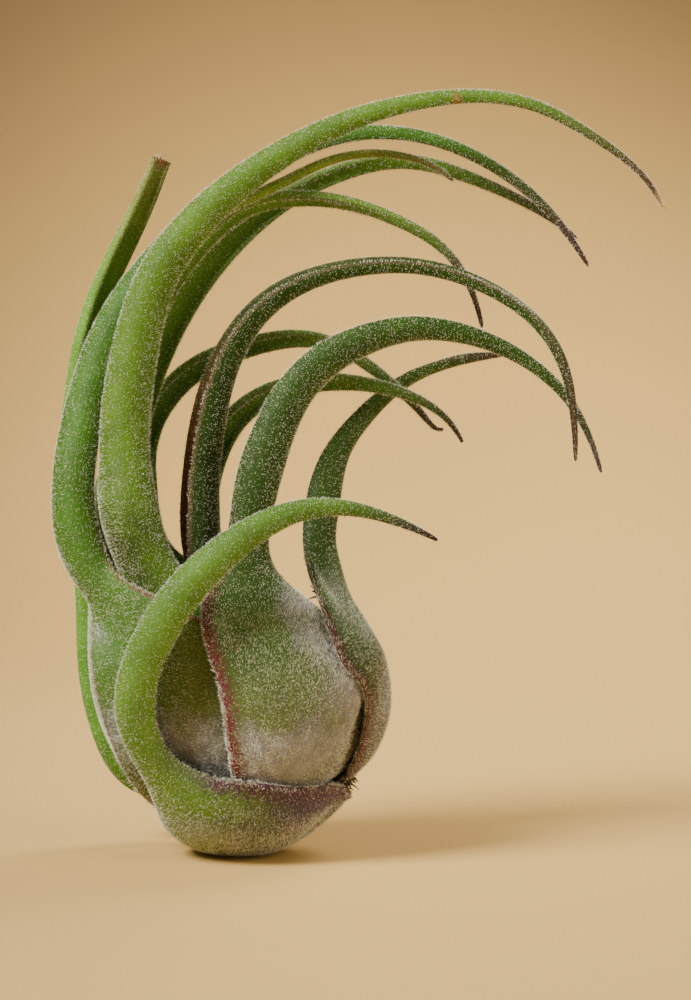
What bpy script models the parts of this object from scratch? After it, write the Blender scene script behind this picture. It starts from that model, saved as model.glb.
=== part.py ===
# An air plant: a bulb of inflated leaf bases wrapped round a short stem, with
# channelled leaf blades that all sweep over to one side and taper to fine tips.
# It rests on a small flat spot under the lowest leaf base. Sizes are in mm here
# and turned into metres when a mesh is made. +Z is up and -Y is the front.

import math

import bpy
import bmesh
import numpy as np
from mathutils import Vector
from mathutils.bvhtree import BVHTree

MM = 0.001

# The bulb
BULB_CENTRE = np.array([0.0, 0.0, 30.0])
STEM_WAY = np.array([0.79, 0.26, -0.56]) / np.linalg.norm([0.79, 0.26, -0.56])
STEM_INNER = 9.0
STEM_OUTER = 25.0
STEM_RADIUS = 3.2

# Leaf walls
LAYER_GAP = 0.55
TOUCH_GAP = 0.12
TOUCH_STEP = 0.25
MARGIN_THICK = 0.9
PLUMP = 0.5
THINNEST = 0.65
INNER_BASE_HALF = 4.0
OUTER_BASE_HALF = 7.5
OUTER_FROM = 16.5
FINEST_HALF = 0.42
CHANNEL_SIDES = 105.0

# The bulb is flattened a little where it rests, and set down by as much
REST_LEVEL = 1.5

# How finely the leaves are faceted
SHEATH_STEP = 4.6
BLADE_STEP = 7.0
ACROSS = 9


def unit(vector):
    return vector / np.linalg.norm(vector)


def ease(x):
    x = np.clip(x, 0.0, 1.0)
    return x * x * (3.0 - 2.0 * x)


STEM_FRONT = unit(np.array([0.0, -1.0, 0.0]) + STEM_WAY[1] * STEM_WAY)
STEM_SIDE = np.cross(STEM_FRONT, STEM_WAY)


def beside_stem(reach, bearing):
    """A point against the stem, this far from the bulb's centre; bearing 0 is the front."""
    lean = math.asin((STEM_RADIUS + 0.8) / reach)
    angle = math.radians(bearing)
    out = math.cos(angle) * STEM_FRONT + math.sin(angle) * STEM_SIDE
    return BULB_CENTRE + reach * (math.cos(lean) * STEM_WAY + math.sin(lean) * out)


# Each leaf, from the innermost to the outermost. It starts beside the stem at
# "root" (reach, bearing). "sheath" rows lie on the bulb: x, y, z of the outer
# face, then the width to the right and to the left of the midrib, seen from
# outside with the tip up. "blade" rows are free: x, y, z of the middle and half
# the width. "faces" turns the channel from the inside of the bend (0) towards
# the front (90) at the start and the end of the blade. "hug" is how far the
# right and the left margin of the sheath sink, "base" its widths at the stem,
# and "lets_go" how far before and after the last sheath row the leaf frees
# itself from the bulb. "across" is the number of points from margin to margin,
# "blunt" a torn tip, and "flat_at" the level under which the leaf is flattened.
LEAVES = {
    "leaf_heart": {
        "root": (9.9, 60),
        "sheath": [],
        "blade": [
            (-3, -4, 36, 1.4),
            (-12, -3, 48, 1.4),
            (-19.5, -8, 60, 1.4),
            (-22.6, -11, 73, 1.4),
            (-22.8, -9.3, 80, 1.4),
            (-22.8, -7.8, 86.5, 1.4),
            (-21.8, -6.3, 100, 1.3),
            (-18.7, -5, 111.5, 1.3),
            (-12, -3.8, 121.2, 1.2),
            (-3.8, -2.5, 127.5, 1.2),
            (4.5, -1.6, 130.8, 1.1),
            (12, 0, 135, 1.0),
            (21, 2, 138, 0.9),
            (28.5, 2, 138, 0.8),
            (35.5, 1, 136, 0.6),
            (40, 1, 132.5, 0.4),
        ],
        "faces": (60, 60),
        "colour": "#8A9A4B",
    },
    "leaf_inner": {
        "root": (10.9, -150),
        "sheath": [],
        "blade": [
            (-2, 3, 36, 3.4),
            (-11, 3, 48, 3.4),
            (-18, 2, 58.5, 3.1),
            (-21, 0.5, 70.5, 2.9),
            (-21, -0.5, 84, 2.7),
            (-19.6, -1.2, 98, 2.6),
            (-16.6, -0.6, 109.5, 2.5),
            (-8, 1, 121, 2.3),
            (-0.5, 2, 127.5, 2.1),
            (8, 2, 129, 2.0),
            (18, 1, 128.5, 1.7),
            (27.5, 0, 125.5, 1.4),
            (36.5, -1, 121, 1.1),
            (42, -2, 115, 0.8),
            (45.5, -3, 104, 0.4),
        ],
        "faces": (30, 30),
        "colour": "#5F7A3C",
    },
    "leaf_centre": {
        "root": (12.9, 40),
        "sheath": [
            (4, -9, 27, 6, 6),
            (-3, -12, 38, 8, 7.5),
            (-7.5, -11.5, 47, 9.5, 9),
        ],
        "blade": [
            (-9.5, -7.5, 54, 5.6),
            (-10.6, -5, 62, 5.8),
            (-10.7, -4, 72.5, 5.3),
            (-9.6, -4, 82.5, 5.0),
            (-7.3, -4, 93, 4.6),
            (-3, -5, 102.5, 3.9),
            (3, -6, 109.5, 3.5),
            (11, -7, 114, 2.9),
            (22, -8, 116.5, 2.4),
            (33.5, -9, 116.5, 2.1),
            (45, -10, 113, 1.9),
            (54.5, -11, 107, 1.6),
            (60, -12, 99.5, 1.2),
            (62.5, -13, 89.5, 0.8),
            (63, -13, 78.5, 0.4),
        ],
        "faces": (172, 160),
        "colour": "#4B6335",
    },
    "leaf_back_low": {
        "root": (13.9, 115),
        "sheath": [
            (14, 6, 35, 12, 11),
            (10.5, 4, 49.5, 14, 12),
            (3.5, 3, 54.5, 10, 8),
        ],
        "blade": [
            (-4, 4, 57.5, 4.6),
            (-9.5, 7, 64, 3.5),
            (-8.5, 7, 74, 3.1),
            (-5.5, 7, 82.5, 2.9),
            (0, 8, 89, 2.6),
            (8, 8, 92.5, 2.3),
            (17, 8, 93.5, 1.9),
            (26, 8, 92.5, 1.4),
            (31.5, 7, 91, 1.1),
            (38.5, 6, 87, 0.7),
            (42, 5, 81.5, 0.4),
        ],
        "faces": (60, 60),
        "colour": "#5A7340",
    },
    "leaf_back_curled": {
        "root": (14.9, 175),
        "sheath": [
            (12, 15, 29, 14, 14),
            (2, 19, 40, 17, 20),
            (-8, 17, 49.5, 11, 13),
        ],
        "blade": [
            (-18, 13.5, 58, 3.4),
            (-21, 15, 70, 3.0),
            (-21.5, 15, 80, 2.9),
            (-17.5, 15, 89.5, 2.8),
            (-10, 14.5, 96.5, 2.6),
            (-1, 13, 100, 2.3),
            (8, 12, 102, 2.0),
            (17, 12, 101, 1.6),
            (23, 12, 97, 1.3),
            (30, 12, 91.5, 1.0),
            (34.5, 12, 86.5, 0.7),
            (37, 12, 83.5, 0.5),
            (38.5, 13, 84, 0.4),
        ],
        "faces": (60, 60),
        "colour": "#64803F",
    },
    "leaf_long": {
        "root": (15.9, 10),
        "sheath": [
            (7, -11, 22, 6, 6),
            (-4, -16, 32, 9, 9),
            (-13, -18, 42, 9.5, 9),
            (-17.5, -17.5, 52, 10, 11),
        ],
        "blade": [
            (-19.8, -15.5, 59, 6.4),
            (-22.3, -13, 67.5, 6.2),
            (-23.4, -10, 76, 5.1),
            (-23.5, -8, 86.5, 4.9),
            (-21.5, -6, 100, 4.7),
            (-18.5, -5, 111.5, 4.3),
            (-12, -4, 122, 3.9),
            (-4.5, -3, 129.5, 3.5),
            (4.5, -3, 136, 3.1),
            (19, -4, 143.5, 2.4),
            (33.5, -5, 147.5, 1.9),
            (45, -6, 148.5, 1.5),
            (56.5, -7, 146.5, 1.2),
            (67.5, -9, 140, 0.9),
            (75.5, -10, 134, 0.6),
            (79.5, -11, 127.5, 0.4),
        ],
        "faces": (-100, -20),
        "colour": "#7A9A45",
    },
    "leaf_left_back": {
        "root": (17.0, -150),
        "sheath": [
            (8, 17, 19, 17, 12),
            (-4, 22.5, 26, 33, 16),
            (-15, 20, 32, 38, 14),
            (-28, 8.5, 37, 27, 11),
            (-30.8, 6, 46.5, 17, 8),
        ],
        "blade": [
            (-29.5, 7.5, 54.5, 4.7),
            (-27.5, 6.5, 66.5, 4.1),
            (-25, 6.5, 78, 4.0),
            (-21.5, 7, 91, 3.9),
            (-17.5, 7.5, 101.5, 3.9),
            (-12, 8, 111.5, 3.9),
            (-5.5, 8.5, 119.5, 3.5),
            (3, 9, 126.5, 2.5),
            (12, 9, 132, 2.0),
            (21, 9, 135.5, 1.8),
            (29.5, 9, 137, 1.6),
            (39.5, 9, 135, 1.4),
            (49.5, 9, 131, 1.1),
            (59, 9, 126, 0.8),
            (64.5, 9, 121.5, 0.4),
        ],
        "faces": (60, 60),
        "colour": "#7F9C4C",
    },
    "leaf_front_left": {
        "root": (17.9, -16),
        "sheath": [
            (4, -18.5, 24, 13, 23),
            (-3.5, -20.5, 29, 13, 26),
            (-10, -20.5, 34.5, 13, 21),
            (-23, -14.5, 47.5, 6.5, 7.5),
        ],
        "lets_go": (6.0, 18.0),
        "hug": (1.0, -7.0),
        "across": 11,
        "blade": [
            (-30, -8, 57, 5.5),
            (-33.2, -6, 68, 4.9),
            (-32.7, -4, 79.5, 4.7),
            (-30.6, -0.7, 90.5, 4.5),
            (-26.5, 2, 103, 4.3),
            (-19.5, 4, 114.5, 3.7),
            (-10.5, 6, 124.5, 3.1),
            (2.5, 8, 134.5, 2.5),
            (16, 8, 141, 2.0),
            (29.5, 8, 142, 1.7),
            (41.5, 7, 139, 1.4),
            (52, 6, 133, 1.1),
            (61, 5, 124.5, 0.8),
            (66.5, 4, 116, 0.4),
        ],
        "faces": (-50, -20),
        "colour": "#5E7F3F",
    },
    "leaf_front_right": {
        "root": (19.1, 30),
        "sheath": [
            (14.5, -19.5, 21.5, 23.5, 18),
            (11, -25, 29.5, 28, 16),
            (6, -24, 41, 18, 12),
            (1, -17.5, 51, 14, 9),
        ],
        "hug": (-0.8, 0.5),
        "across": 11,
        "blade": [
            (0.1, -13.2, 60.8, 4.8),
            (1.5, -12, 73, 4.6),
            (5.5, -11, 85.5, 4.2),
            (12, -10, 96, 3.9),
            (22, -9, 102, 3.3),
            (32.5, -8, 104.5, 2.7),
            (43, -7, 103, 2.1),
            (52.5, -6, 99, 1.6),
            (60.5, -6, 92.5, 1.1),
            (65.5, -5, 85, 0.7),
            (68.5, -5, 76, 0.4),
        ],
        "faces": (-100, -150),
        "colour": "#5A7444",
    },
    "leaf_right": {
        "root": (19.6, 95),
        "sheath": [
            (24.5, 4, 22.5, 20, 14),
            (28.5, 2, 31.5, 30, 18),
            (25.4, 2, 42, 28, 21.5),
            (19.8, 1, 51.5, 11, 21),
        ],
        "lets_go": (2.0, 11.0),
        "hug": (1.0, 4.0),
        "across": 11,
        "blade": [
            (13.8, 3.3, 58, 5.5),
            (13.5, 6.5, 68.5, 4.4),
            (16.0, 11, 79, 3.5),
            (23, 15, 88, 2.7),
            (31, 19, 94.5, 2.1),
            (40, 22, 97.5, 1.5),
            (51, 25, 98.5, 0.4),
        ],
        "faces": (240, 170),
        "colour": "#5F7A45",
    },
    "leaf_cut_tip": {
        "root": (20.2, -130),
        "sheath": [
            (13, 15, 12, 18, 15),
            (2, 20.5, 11.5, 25, 18),
            (-9, 21, 11, 17, 14),
        ],
        "hug": (1.0, 1.0),
        "blade": [
            (-19, 16.5, 10.8, 3.4),
            (-25, 13, 15.5, 2.9),
            (-28.7, 12, 24, 3.1),
            (-31.2, 12.5, 33.5, 3.0),
            (-32, 13.8, 44, 2.8),
            (-32.6, 13.5, 58, 2.7),
            (-35, 11.5, 74, 2.7),
            (-34, 9, 90, 2.7),
            (-31.3, 8, 103.5, 2.9),
            (-26.7, 8, 115.5, 2.8),
            (-21.1, 8, 127, 2.5),
            (-17, 8, 137, 2.0),
        ],
        "faces": (-75, 60),
        "colour": "#5D7B42",
        "blunt": True,
    },
    "leaf_front_low": {
        "root": (20.8, -50),
        "sheath": [
            (15.5, -12.5, 11.5, 4.5, 24),
            (6, -18.5, 7.5, 11.4, 34),
            (-4.5, -20.5, 8, 12.6, 31),
            (-12.5, -21.5, 12.5, 9.5, 17),
        ],
        "base": (1.2, 7.5),
        "across": 11,
        "hug": (4.0, 1.0),
        "blade": [
            (-17, -21, 20.5, 4.6),
            (-20.5, -23, 29, 4.4),
            (-20.5, -24.5, 36.5, 4.3),
            (-17.5, -26, 44.5, 4.2),
            (-12.5, -27, 53, 4.1),
            (-5.5, -27, 60.5, 3.7),
            (2.5, -26, 66.5, 3.0),
            (12.5, -25, 70.5, 2.1),
            (21.5, -24, 70, 1.5),
            (29.5, -23, 67.5, 0.9),
            (36.5, -22, 64, 0.4),
        ],
        "faces": (-45, -45),
        "colour": "#7D9C4A",
        "flat_at": REST_LEVEL,
    },
}


def bend_through(rows, stations):
    """Values on a smooth curve through the rows at these lengths along it."""
    rows = np.asarray(rows, float)
    steps = np.linalg.norm(np.diff(rows[:, :3], axis=0), axis=1)
    knots = np.concatenate([[0.0], np.cumsum(steps)])
    count = len(rows)
    system = np.eye(count)
    right = np.zeros_like(rows)
    for i in range(1, count - 1):
        system[i, i - 1] = steps[i - 1]
        system[i, i] = 2.0 * (steps[i - 1] + steps[i])
        system[i, i + 1] = steps[i]
        slope = (rows[i + 1] - rows[i]) / steps[i] - (rows[i] - rows[i - 1]) / steps[i - 1]
        right[i] = 6.0 * slope
    second = np.linalg.solve(system, right)
    at = np.clip(stations, 0.0, knots[-1])
    i = np.clip(np.searchsorted(knots, at, side="right") - 1, 0, count - 2)
    span = steps[i][:, None]
    after = (at - knots[i])[:, None]
    before = span - after
    smooth = (second[i] * before**3 + second[i + 1] * after**3) / (6.0 * span)
    smooth += (rows[i] / span - second[i] * span / 6.0) * before
    smooth += (rows[i + 1] / span - second[i + 1] * span / 6.0) * after
    return smooth


def total_length(rows):
    return float(np.linalg.norm(np.diff(np.asarray(rows)[:, :3], axis=0), axis=1).sum())


def stations_of(joint, length):
    """Ring positions: close together on the bulb, wider apart on the blade."""
    on_bulb = max(2, round(joint / SHEATH_STEP))
    on_blade = max(6, round((length - joint) / BLADE_STEP))
    blade = np.linspace(joint, length, on_blade + 1)[1:]
    near_tip = np.array([length - 2.2, length])
    blade = np.concatenate([blade[blade < length - 4.0], near_tip])
    return np.concatenate([np.linspace(0.0, joint, on_bulb + 1), blade])


def spine_of(leaf):
    """Points, widths, how much each ring is draped on the bulb, and directions."""
    root = beside_stem(*leaf["root"])
    first = INNER_BASE_HALF if leaf["root"][0] < OUTER_FROM else OUTER_BASE_HALF
    sheath = [(*root, *leaf.get("base", (first, first)))] + [tuple(row) for row in leaf["sheath"]]
    if not leaf["sheath"]:
        first = leaf["blade"][0][3]
        sheath = [(*root, first, first)]
    blade = [(x, y, z, half, half) for x, y, z, half in leaf["blade"]]
    rows = sheath + blade
    length = total_length(rows)
    joint = total_length(rows[: len(sheath)])
    before, after = leaf.get("lets_go", (4.0, 16.0))
    free_from, free_by = joint - before, joint + after
    at = stations_of(joint, length)
    found = bend_through(rows, at)
    fine = np.linspace(0.0, length, 400)
    dense = bend_through(rows, fine)[:, :3]
    slopes = np.gradient(dense, fine, axis=0)
    along = np.stack([np.interp(at, fine, slopes[:, k]) for k in range(3)], axis=1)
    along /= np.linalg.norm(along, axis=1)[:, None]
    if leaf["sheath"]:
        draped = 1.0 - ease((at - free_from) / (free_by - free_from))
    else:
        draped = np.zeros(len(at))
    halves = np.maximum(found[:, 3:5], FINEST_HALF)
    return at / length, found[:, :3], halves, draped, along


def frames_of(leaf, share, points, draped, along):
    """For each ring, the way the channel opens and the way across it."""
    start, end = leaf["faces"]
    front = np.array([0.0, -1.0, 0.0])
    opens = np.empty_like(points)
    across = np.empty_like(points)
    for i, way in enumerate(along):
        inside = unit(np.cross([0.0, 1.0, 0.0], way))
        side = -np.cross(way, inside)
        if side @ front < 0.0:
            side = -side
        turn = math.radians(start + (end - start) * share[i])
        free = math.cos(turn) * inside + math.sin(turn) * side
        towards = unit(BULB_CENTRE - points[i])
        mixed = (1.0 - draped[i]) * free + draped[i] * towards
        mixed -= way * (mixed @ way)
        opens[i] = unit(mixed)
        across[i] = unit(np.cross(way, opens[i]))
    return opens, across


def channel_section(half, spots):
    """A C-shaped section: (across, opening) pairs of its outer and its channel side."""
    bend = math.radians(CHANNEL_SIDES)
    fill = ease((2.4 - half) / 1.5)
    outer = np.stack([half * np.sin(bend * spots), -half * np.cos(bend * spots)], axis=1)
    edge_x = half * math.sin(bend)
    edge_n = -half * math.cos(bend)
    wall = min(MARGIN_THICK, 0.4 * half)
    thick = 0.75 + 0.34 * half
    depth = edge_n + half - thick
    depth = (1.0 - fill) * depth - fill * 0.66 * half
    inner_x = (edge_x - (1.0 - fill) * wall - fill * 0.16 * half) * np.sin(math.pi / 2 * spots)
    inner_n = edge_n + 0.08 * half - depth * np.cos(math.pi / 2 * spots)
    return outer, np.stack([inner_x, inner_n], axis=1)


def way_across(centre, side, width):
    """The way this wide of a sheath's midrib: straight across, or curled round the stem near it."""
    straight = math.cos(width) * centre + math.sin(width) * side
    away = math.acos(np.clip(centre @ STEM_WAY, -1.0, 1.0))
    clasp = 1.0 - ease((away - 0.3) / 0.9)
    turn = np.clip(width / math.sin(away), -2.7, 2.7)
    curled = centre * math.cos(turn) + np.cross(STEM_WAY, centre) * math.sin(turn)
    curled = curled + STEM_WAY * (STEM_WAY @ centre) * (1.0 - math.cos(turn))
    return unit((1.0 - clasp) * straight + clasp * curled)


def outermost(trees, way, limit):
    """How far out the leaves already placed reach along this way from the bulb's centre."""
    start = Vector(BULB_CENTRE + way * limit)
    reach = 0.0
    for tree in trees:
        hit = tree.ray_cast(start, Vector(-way), limit)
        if hit[0] is not None:
            reach = max(reach, limit - hit[3])
    return reach


def sheath_faces(leaf, points, halves, draped, across, trees, spots):
    """The inner and the outer face of the part wrapped round the bulb."""
    hug = leaf.get("hug", (2.5, 2.5))
    rings = [i for i in range(len(points)) if draped[i] > 0.0]
    if not rings:
        return rings, None, None
    ways = np.zeros((len(rings), len(spots), 3))
    aim = np.zeros((len(rings), len(spots)))
    floor = np.zeros((len(rings), len(spots)))
    walls = np.zeros((len(rings), len(spots)))
    for row, i in enumerate(rings):
        thick = MARGIN_THICK + PLUMP * (1.0 - spots**2) * min(1.0, i / 3.0)
        walls[row] = thick
        reach = np.linalg.norm(points[i] - BULB_CENTRE)
        centre = (points[i] - BULB_CENTRE) / reach
        side = unit(across[i] - centre * (across[i] @ centre))
        for k, spot in enumerate(spots):
            hand = 1 if spot > 0 else 0
            width = spot * halves[i][hand] / reach
            ways[row, k] = way_across(centre, side, width)
            sunk = hug[hand] * spot * spot * min(1.0, halves[i].mean() / 10.0)
            aim[row, k] = reach - thick[k] - sunk
            limit = reach + 5.0
            beside = 0.6 * halves[i].mean() * (spots[1] - spots[0]) / reach
            ahead = 0.6 * SHEATH_STEP / reach
            near = [outermost(trees, ways[row, k], limit)]
            for sign in (-1.0, 1.0):
                tilted = unit(ways[row, k] + sign * beside * side)
                near.append(outermost(trees, tilted, limit))
                tilted = unit(ways[row, k] + sign * ahead * np.cross(side, centre))
                near.append(outermost(trees, tilted, limit))
            floor[row, k] = max(near) + LAYER_GAP if max(near) > 0.0 else 0.0
    inner = np.maximum(aim, floor)
    for _ in range(4):
        padded = np.pad(inner, 1, mode="edge")
        mean = (padded[:-2, 1:-1] + padded[2:, 1:-1] + padded[1:-1, :-2] + padded[1:-1, 2:]) / 4.0
        inner = np.maximum(0.5 * inner + 0.5 * mean, floor)
    inside = np.array(BULB_CENTRE) + ways * inner[..., None]
    outside = np.array(BULB_CENTRE) + ways * (inner + walls)[..., None]
    return rings, inside, outside


def finer(grid, parts):
    """The grid with each of its cells split into this many parts both ways."""
    rows, columns = grid.shape[:2]
    at = np.linspace(0.0, rows - 1.0, parts * (rows - 1) + 1)
    low = np.minimum(at.astype(int), rows - 2)
    share = (at - low)[:, None, None]
    tall = (1.0 - share) * grid[low] + share * grid[low + 1]
    at = np.linspace(0.0, columns - 1.0, parts * (columns - 1) + 1)
    low = np.minimum(at.astype(int), columns - 2)
    share = (at - low)[None, :, None]
    return (1.0 - share) * tall[:, low] + share * tall[:, low + 1]


def clear_of_inner(made, draped, trees):
    """Lifts the rings on and near the bulb off the leaves inside them."""
    parts = 4
    count = min(len(made), int(np.count_nonzero(draped > 0.0)) + 1)
    half = made.shape[1] // 2
    for _ in range(2):
        low = finer(made[:count, half:][:, ::-1], parts)
        lift = np.zeros(low.shape[:2])
        for i in range(len(low)):
            far = 8.0 if draped[min(count - 1, round(i / parts))] > 0.8 else 3.0
            for k in range(low.shape[1]):
                away = low[i, k] - BULB_CENTRE
                reach = np.linalg.norm(away)
                found = outermost(trees, away / reach, reach + far)
                if found > 0.0:
                    lift[i, k] = max(0.0, found + LAYER_GAP - reach)
        padded = np.pad(lift, parts - 1, mode="edge")
        steps = range(2 * parts - 1)
        shape = lift.shape
        around = [padded[i : i + shape[0], k : k + shape[1]] for i in steps for k in steps]
        lift = np.max(around, axis=0)[::parts, ::parts]
        for side in (made[:count, :half], made[:count, half:][:, ::-1]):
            away = side - BULB_CENTRE
            away /= np.linalg.norm(away, axis=2)[..., None]
            side += lift[..., None] * away
    return made


def leaf_rings(leaf, trees):
    """Closed rings of points from the base to the tip."""
    share, points, halves, draped, along = spine_of(leaf)
    opens, across = frames_of(leaf, share, points, draped, along)
    spots = np.linspace(-1.0, 1.0, leaf.get("across", ACROSS))
    rings, inside, outside = sheath_faces(leaf, points, halves, draped, across, trees, spots)
    made = []
    for i, point in enumerate(points):
        half = halves[i].mean() / (1.0 + 0.83 * draped[i])
        if draped[i] > 0.0:
            half = min(half, 1.25 * leaf["blade"][0][3])
        outer, inner = channel_section(half, spots)
        lift = np.array([0.0, draped[i] * half])
        outer = point + (outer + lift) @ np.stack([across[i], opens[i]])
        inner = point + (inner + lift) @ np.stack([across[i], opens[i]])
        if draped[i] > 0.0:
            row = rings.index(i)
            outer = (1.0 - draped[i]) * outer + draped[i] * outside[row]
            inner = (1.0 - draped[i]) * inner + draped[i] * inside[row]
        made.append(np.concatenate([outer, inner[::-1]]))
    made = clear_of_inner(np.array(made), draped, trees)
    made = clear_of_touch(made, trees)
    if "flat_at" in leaf:
        lowest = leaf["flat_at"]
        half = len(spots)
        made[:, :half, 2] = np.maximum(made[:, :half, 2], lowest)
        made[:, half:, 2] = np.maximum(made[:, half:, 2], lowest + THINNEST)
    if not leaf.get("blunt"):
        made[-1] = points[-1] + 0.8 * (made[-1] - points[-1])
    return made


def rings_to_faces(rings):
    """Quads between the rings, and strips that close both ends."""
    count, around = len(rings), rings.shape[1]
    faces = []
    for i in range(count - 1):
        for k in range(around):
            low, high = i * around, (i + 1) * around
            step = (k + 1) % around
            faces.append((low + k, low + step, high + step, high + k))
    for i, flip in ((0, True), (count - 1, False)):
        base = i * around
        for k in range(around // 2 - 1):
            quad = (base + k, base + k + 1, base + around - 2 - k, base + around - 1 - k)
            faces.append(quad[::-1] if flip else quad)
    return faces


def tree_of(points, faces):
    flat = [Vector(p) for p in np.asarray(points)]
    return BVHTree.FromPolygons(flat, faces)


def clear_of_touch(made, trees):
    """Lifts the leaf in small steps wherever it would still touch a leaf inside it.

    Faces that start at the base ring are cleared by moving the base ring alone.
    """
    half = made.shape[1] // 2
    around = 2 * half
    faces = rings_to_faces(made)
    for _ in range(10):
        away = made - BULB_CENTRE
        away /= np.linalg.norm(away, axis=2)[..., None]
        nearer = made.copy()
        nearer[:, half:] -= TOUCH_GAP * away[:, half:]
        tree = tree_of(nearer.reshape(-1, 3), faces)
        touched = {face for other in trees for face, _ in tree.overlap(other)}
        if not touched:
            break
        lift = np.zeros((len(made), half))
        for face in touched:
            for point in faces[face]:
                i, k = divmod(point, around)
                if i == 0 or face >= around:
                    lift[i, min(k, around - 1 - k)] = TOUCH_STEP
        made[:, :half] += lift[..., None] * away[:, :half]
        made[:, half:] += lift[:, ::-1, None] * away[:, half:]
    return made


def colour_of(text):
    """Linear colour from an sRGB hex code."""
    parts = [int(text[i : i + 2], 16) / 255.0 for i in (1, 3, 5)]
    linear = [c / 12.92 if c <= 0.04045 else ((c + 0.055) / 1.055) ** 2.4 for c in parts]
    return (*linear, 1.0)


def add_material(name, colour, roughness):
    material = bpy.data.materials.new(name)
    material.use_nodes = True
    shader = material.node_tree.nodes["Principled BSDF"]
    shader.inputs["Base Color"].default_value = colour_of(colour)
    shader.inputs["Roughness"].default_value = roughness
    shader.inputs["Metallic"].default_value = 0.0
    return material


def add_part(name, points, faces, colour, roughness, collection):
    """A mesh object with its material, its faces turned outwards."""
    mesh = bpy.data.meshes.new(name)
    set_down = np.asarray(points) - np.array([0.0, 0.0, REST_LEVEL])
    mesh.from_pydata([tuple(p) for p in set_down * MM], [], faces)
    work = bmesh.new()
    work.from_mesh(mesh)
    bmesh.ops.recalc_face_normals(work, faces=work.faces)
    bmesh.ops.triangulate(work, faces=work.faces)
    work.to_mesh(mesh)
    work.free()
    mesh.materials.append(add_material(name, colour, roughness))
    mesh.shade_smooth()
    mesh.set_sharp_from_angle(angle=math.radians(50))
    part = bpy.data.objects.new(name, mesh)
    collection.objects.link(part)
    return part


def add_stem(collection):
    """A short woody stem: turned round its own axis, a little waisted, with a broken outer end."""
    profile = [
        (STEM_INNER, 1.6),
        (STEM_INNER + 0.8, 2.5),
        (STEM_INNER + 3.0, STEM_RADIUS),
        (STEM_OUTER - 6.0, STEM_RADIUS),
        (STEM_OUTER - 2.0, STEM_RADIUS - 0.2),
        (STEM_OUTER, STEM_RADIUS - 0.6),
    ]
    sides = 14
    points = []
    for reach, radius in profile:
        for k in range(sides):
            angle = 2.0 * math.pi * k / sides
            rough = 1.0 - 0.08 * (0.5 + 0.5 * math.sin(5.0 * angle + reach))
            out = math.cos(angle) * STEM_FRONT + math.sin(angle) * STEM_SIDE
            broken = 0.6 * math.sin(3.0 * angle) if reach == STEM_OUTER else 0.0
            points.append(BULB_CENTRE + (reach + broken) * STEM_WAY + radius * rough * out)
    faces = []
    for i in range(len(profile) - 1):
        for k in range(sides):
            step = (k + 1) % sides
            low, high = i * sides, (i + 1) * sides
            faces.append((low + k, low + step, high + step, high + k))
    faces.append(tuple(range(sides)))
    faces.append(tuple(range(len(points) - 1, len(points) - 1 - sides, -1)))
    add_part("stem", points, faces, "#5B4330", 0.85, collection)
    return tree_of(points, faces)


def build():
    for old in list(bpy.data.objects):
        bpy.data.objects.remove(old)
    collection = bpy.data.collections.new("air_plant")
    bpy.context.scene.collection.children.link(collection)
    trees = [add_stem(collection)]
    for name, leaf in LEAVES.items():
        rings = leaf_rings(leaf, trees)
        faces = rings_to_faces(rings)
        points = rings.reshape(-1, 3)
        add_part(name, points, faces, leaf["colour"], 0.7, collection)
        trees.append(tree_of(points, faces))


build()
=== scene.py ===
# The looks of the air plant: every leaf rebuilt as a fine skin with its colours,
# margins and veins, the short pale hairs that cover it, and the woody stem with
# its dry fibres. The leaves follow the same rows and rules as the solids. Sizes
# are in mm and turned into metres when a mesh is made. +Z is up, -Y the front.

import math

import bmesh
import bpy
import numpy as np
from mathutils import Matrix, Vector
from mathutils.bvhtree import BVHTree


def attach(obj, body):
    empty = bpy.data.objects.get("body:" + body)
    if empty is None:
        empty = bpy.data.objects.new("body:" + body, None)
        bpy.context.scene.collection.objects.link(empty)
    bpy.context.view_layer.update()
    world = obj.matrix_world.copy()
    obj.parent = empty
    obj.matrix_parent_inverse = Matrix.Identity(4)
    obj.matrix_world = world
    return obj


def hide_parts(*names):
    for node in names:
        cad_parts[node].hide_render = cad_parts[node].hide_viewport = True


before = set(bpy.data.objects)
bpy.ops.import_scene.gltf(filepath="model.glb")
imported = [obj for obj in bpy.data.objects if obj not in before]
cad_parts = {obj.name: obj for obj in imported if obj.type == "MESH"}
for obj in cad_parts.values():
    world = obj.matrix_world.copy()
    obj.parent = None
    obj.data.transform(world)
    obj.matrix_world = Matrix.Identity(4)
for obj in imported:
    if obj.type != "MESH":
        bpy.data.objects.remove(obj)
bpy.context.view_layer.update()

MM = 0.001

# The camera: how the photograph was framed
PHOTO_SIZE = (691, 1000)
MM_PER_PIXEL = 0.195
CAMERA_DISTANCE = 700.0
CAMERA_ABOVE = 3.0  # degrees
CAMERA_AIM = (19.0, 0.0, 69.0)

# The bulb, and the stem in it: its way out from the bulb's centre and where it starts and ends on that way
BULB_CENTRE = np.array([0.0, 0.0, 30.0])
STEM_WAY = np.array([0.79, 0.26, -0.56]) / np.linalg.norm([0.79, 0.26, -0.56])
STEM_INNER = 9.0
STEM_OUTER = 25.0
STEM_RADIUS = 3.2

# Leaf walls
LAYER_GAP = 0.55  # between two layers on the bulb
TOUCH_GAP = 0.12  # the least where two leaves come close
TOUCH_STEP = 0.25  # how far a leaf is lifted at a time to clear another
MARGIN_THICK = 0.9
PLUMP = 0.5  # how much thicker a sheath is in its middle
THINNEST = 0.65
CHANNEL_SIDES = 105.0  # how many degrees a blade curls round to each side

# Half the width of a leaf at the stem, for inner and for outer leaves, and at its tip
INNER_BASE_HALF = 4.0
OUTER_BASE_HALF = 7.5
OUTER_FROM = 16.5  # outer leaves start at least this far from the bulb's centre
FINEST_HALF = 0.42

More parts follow.
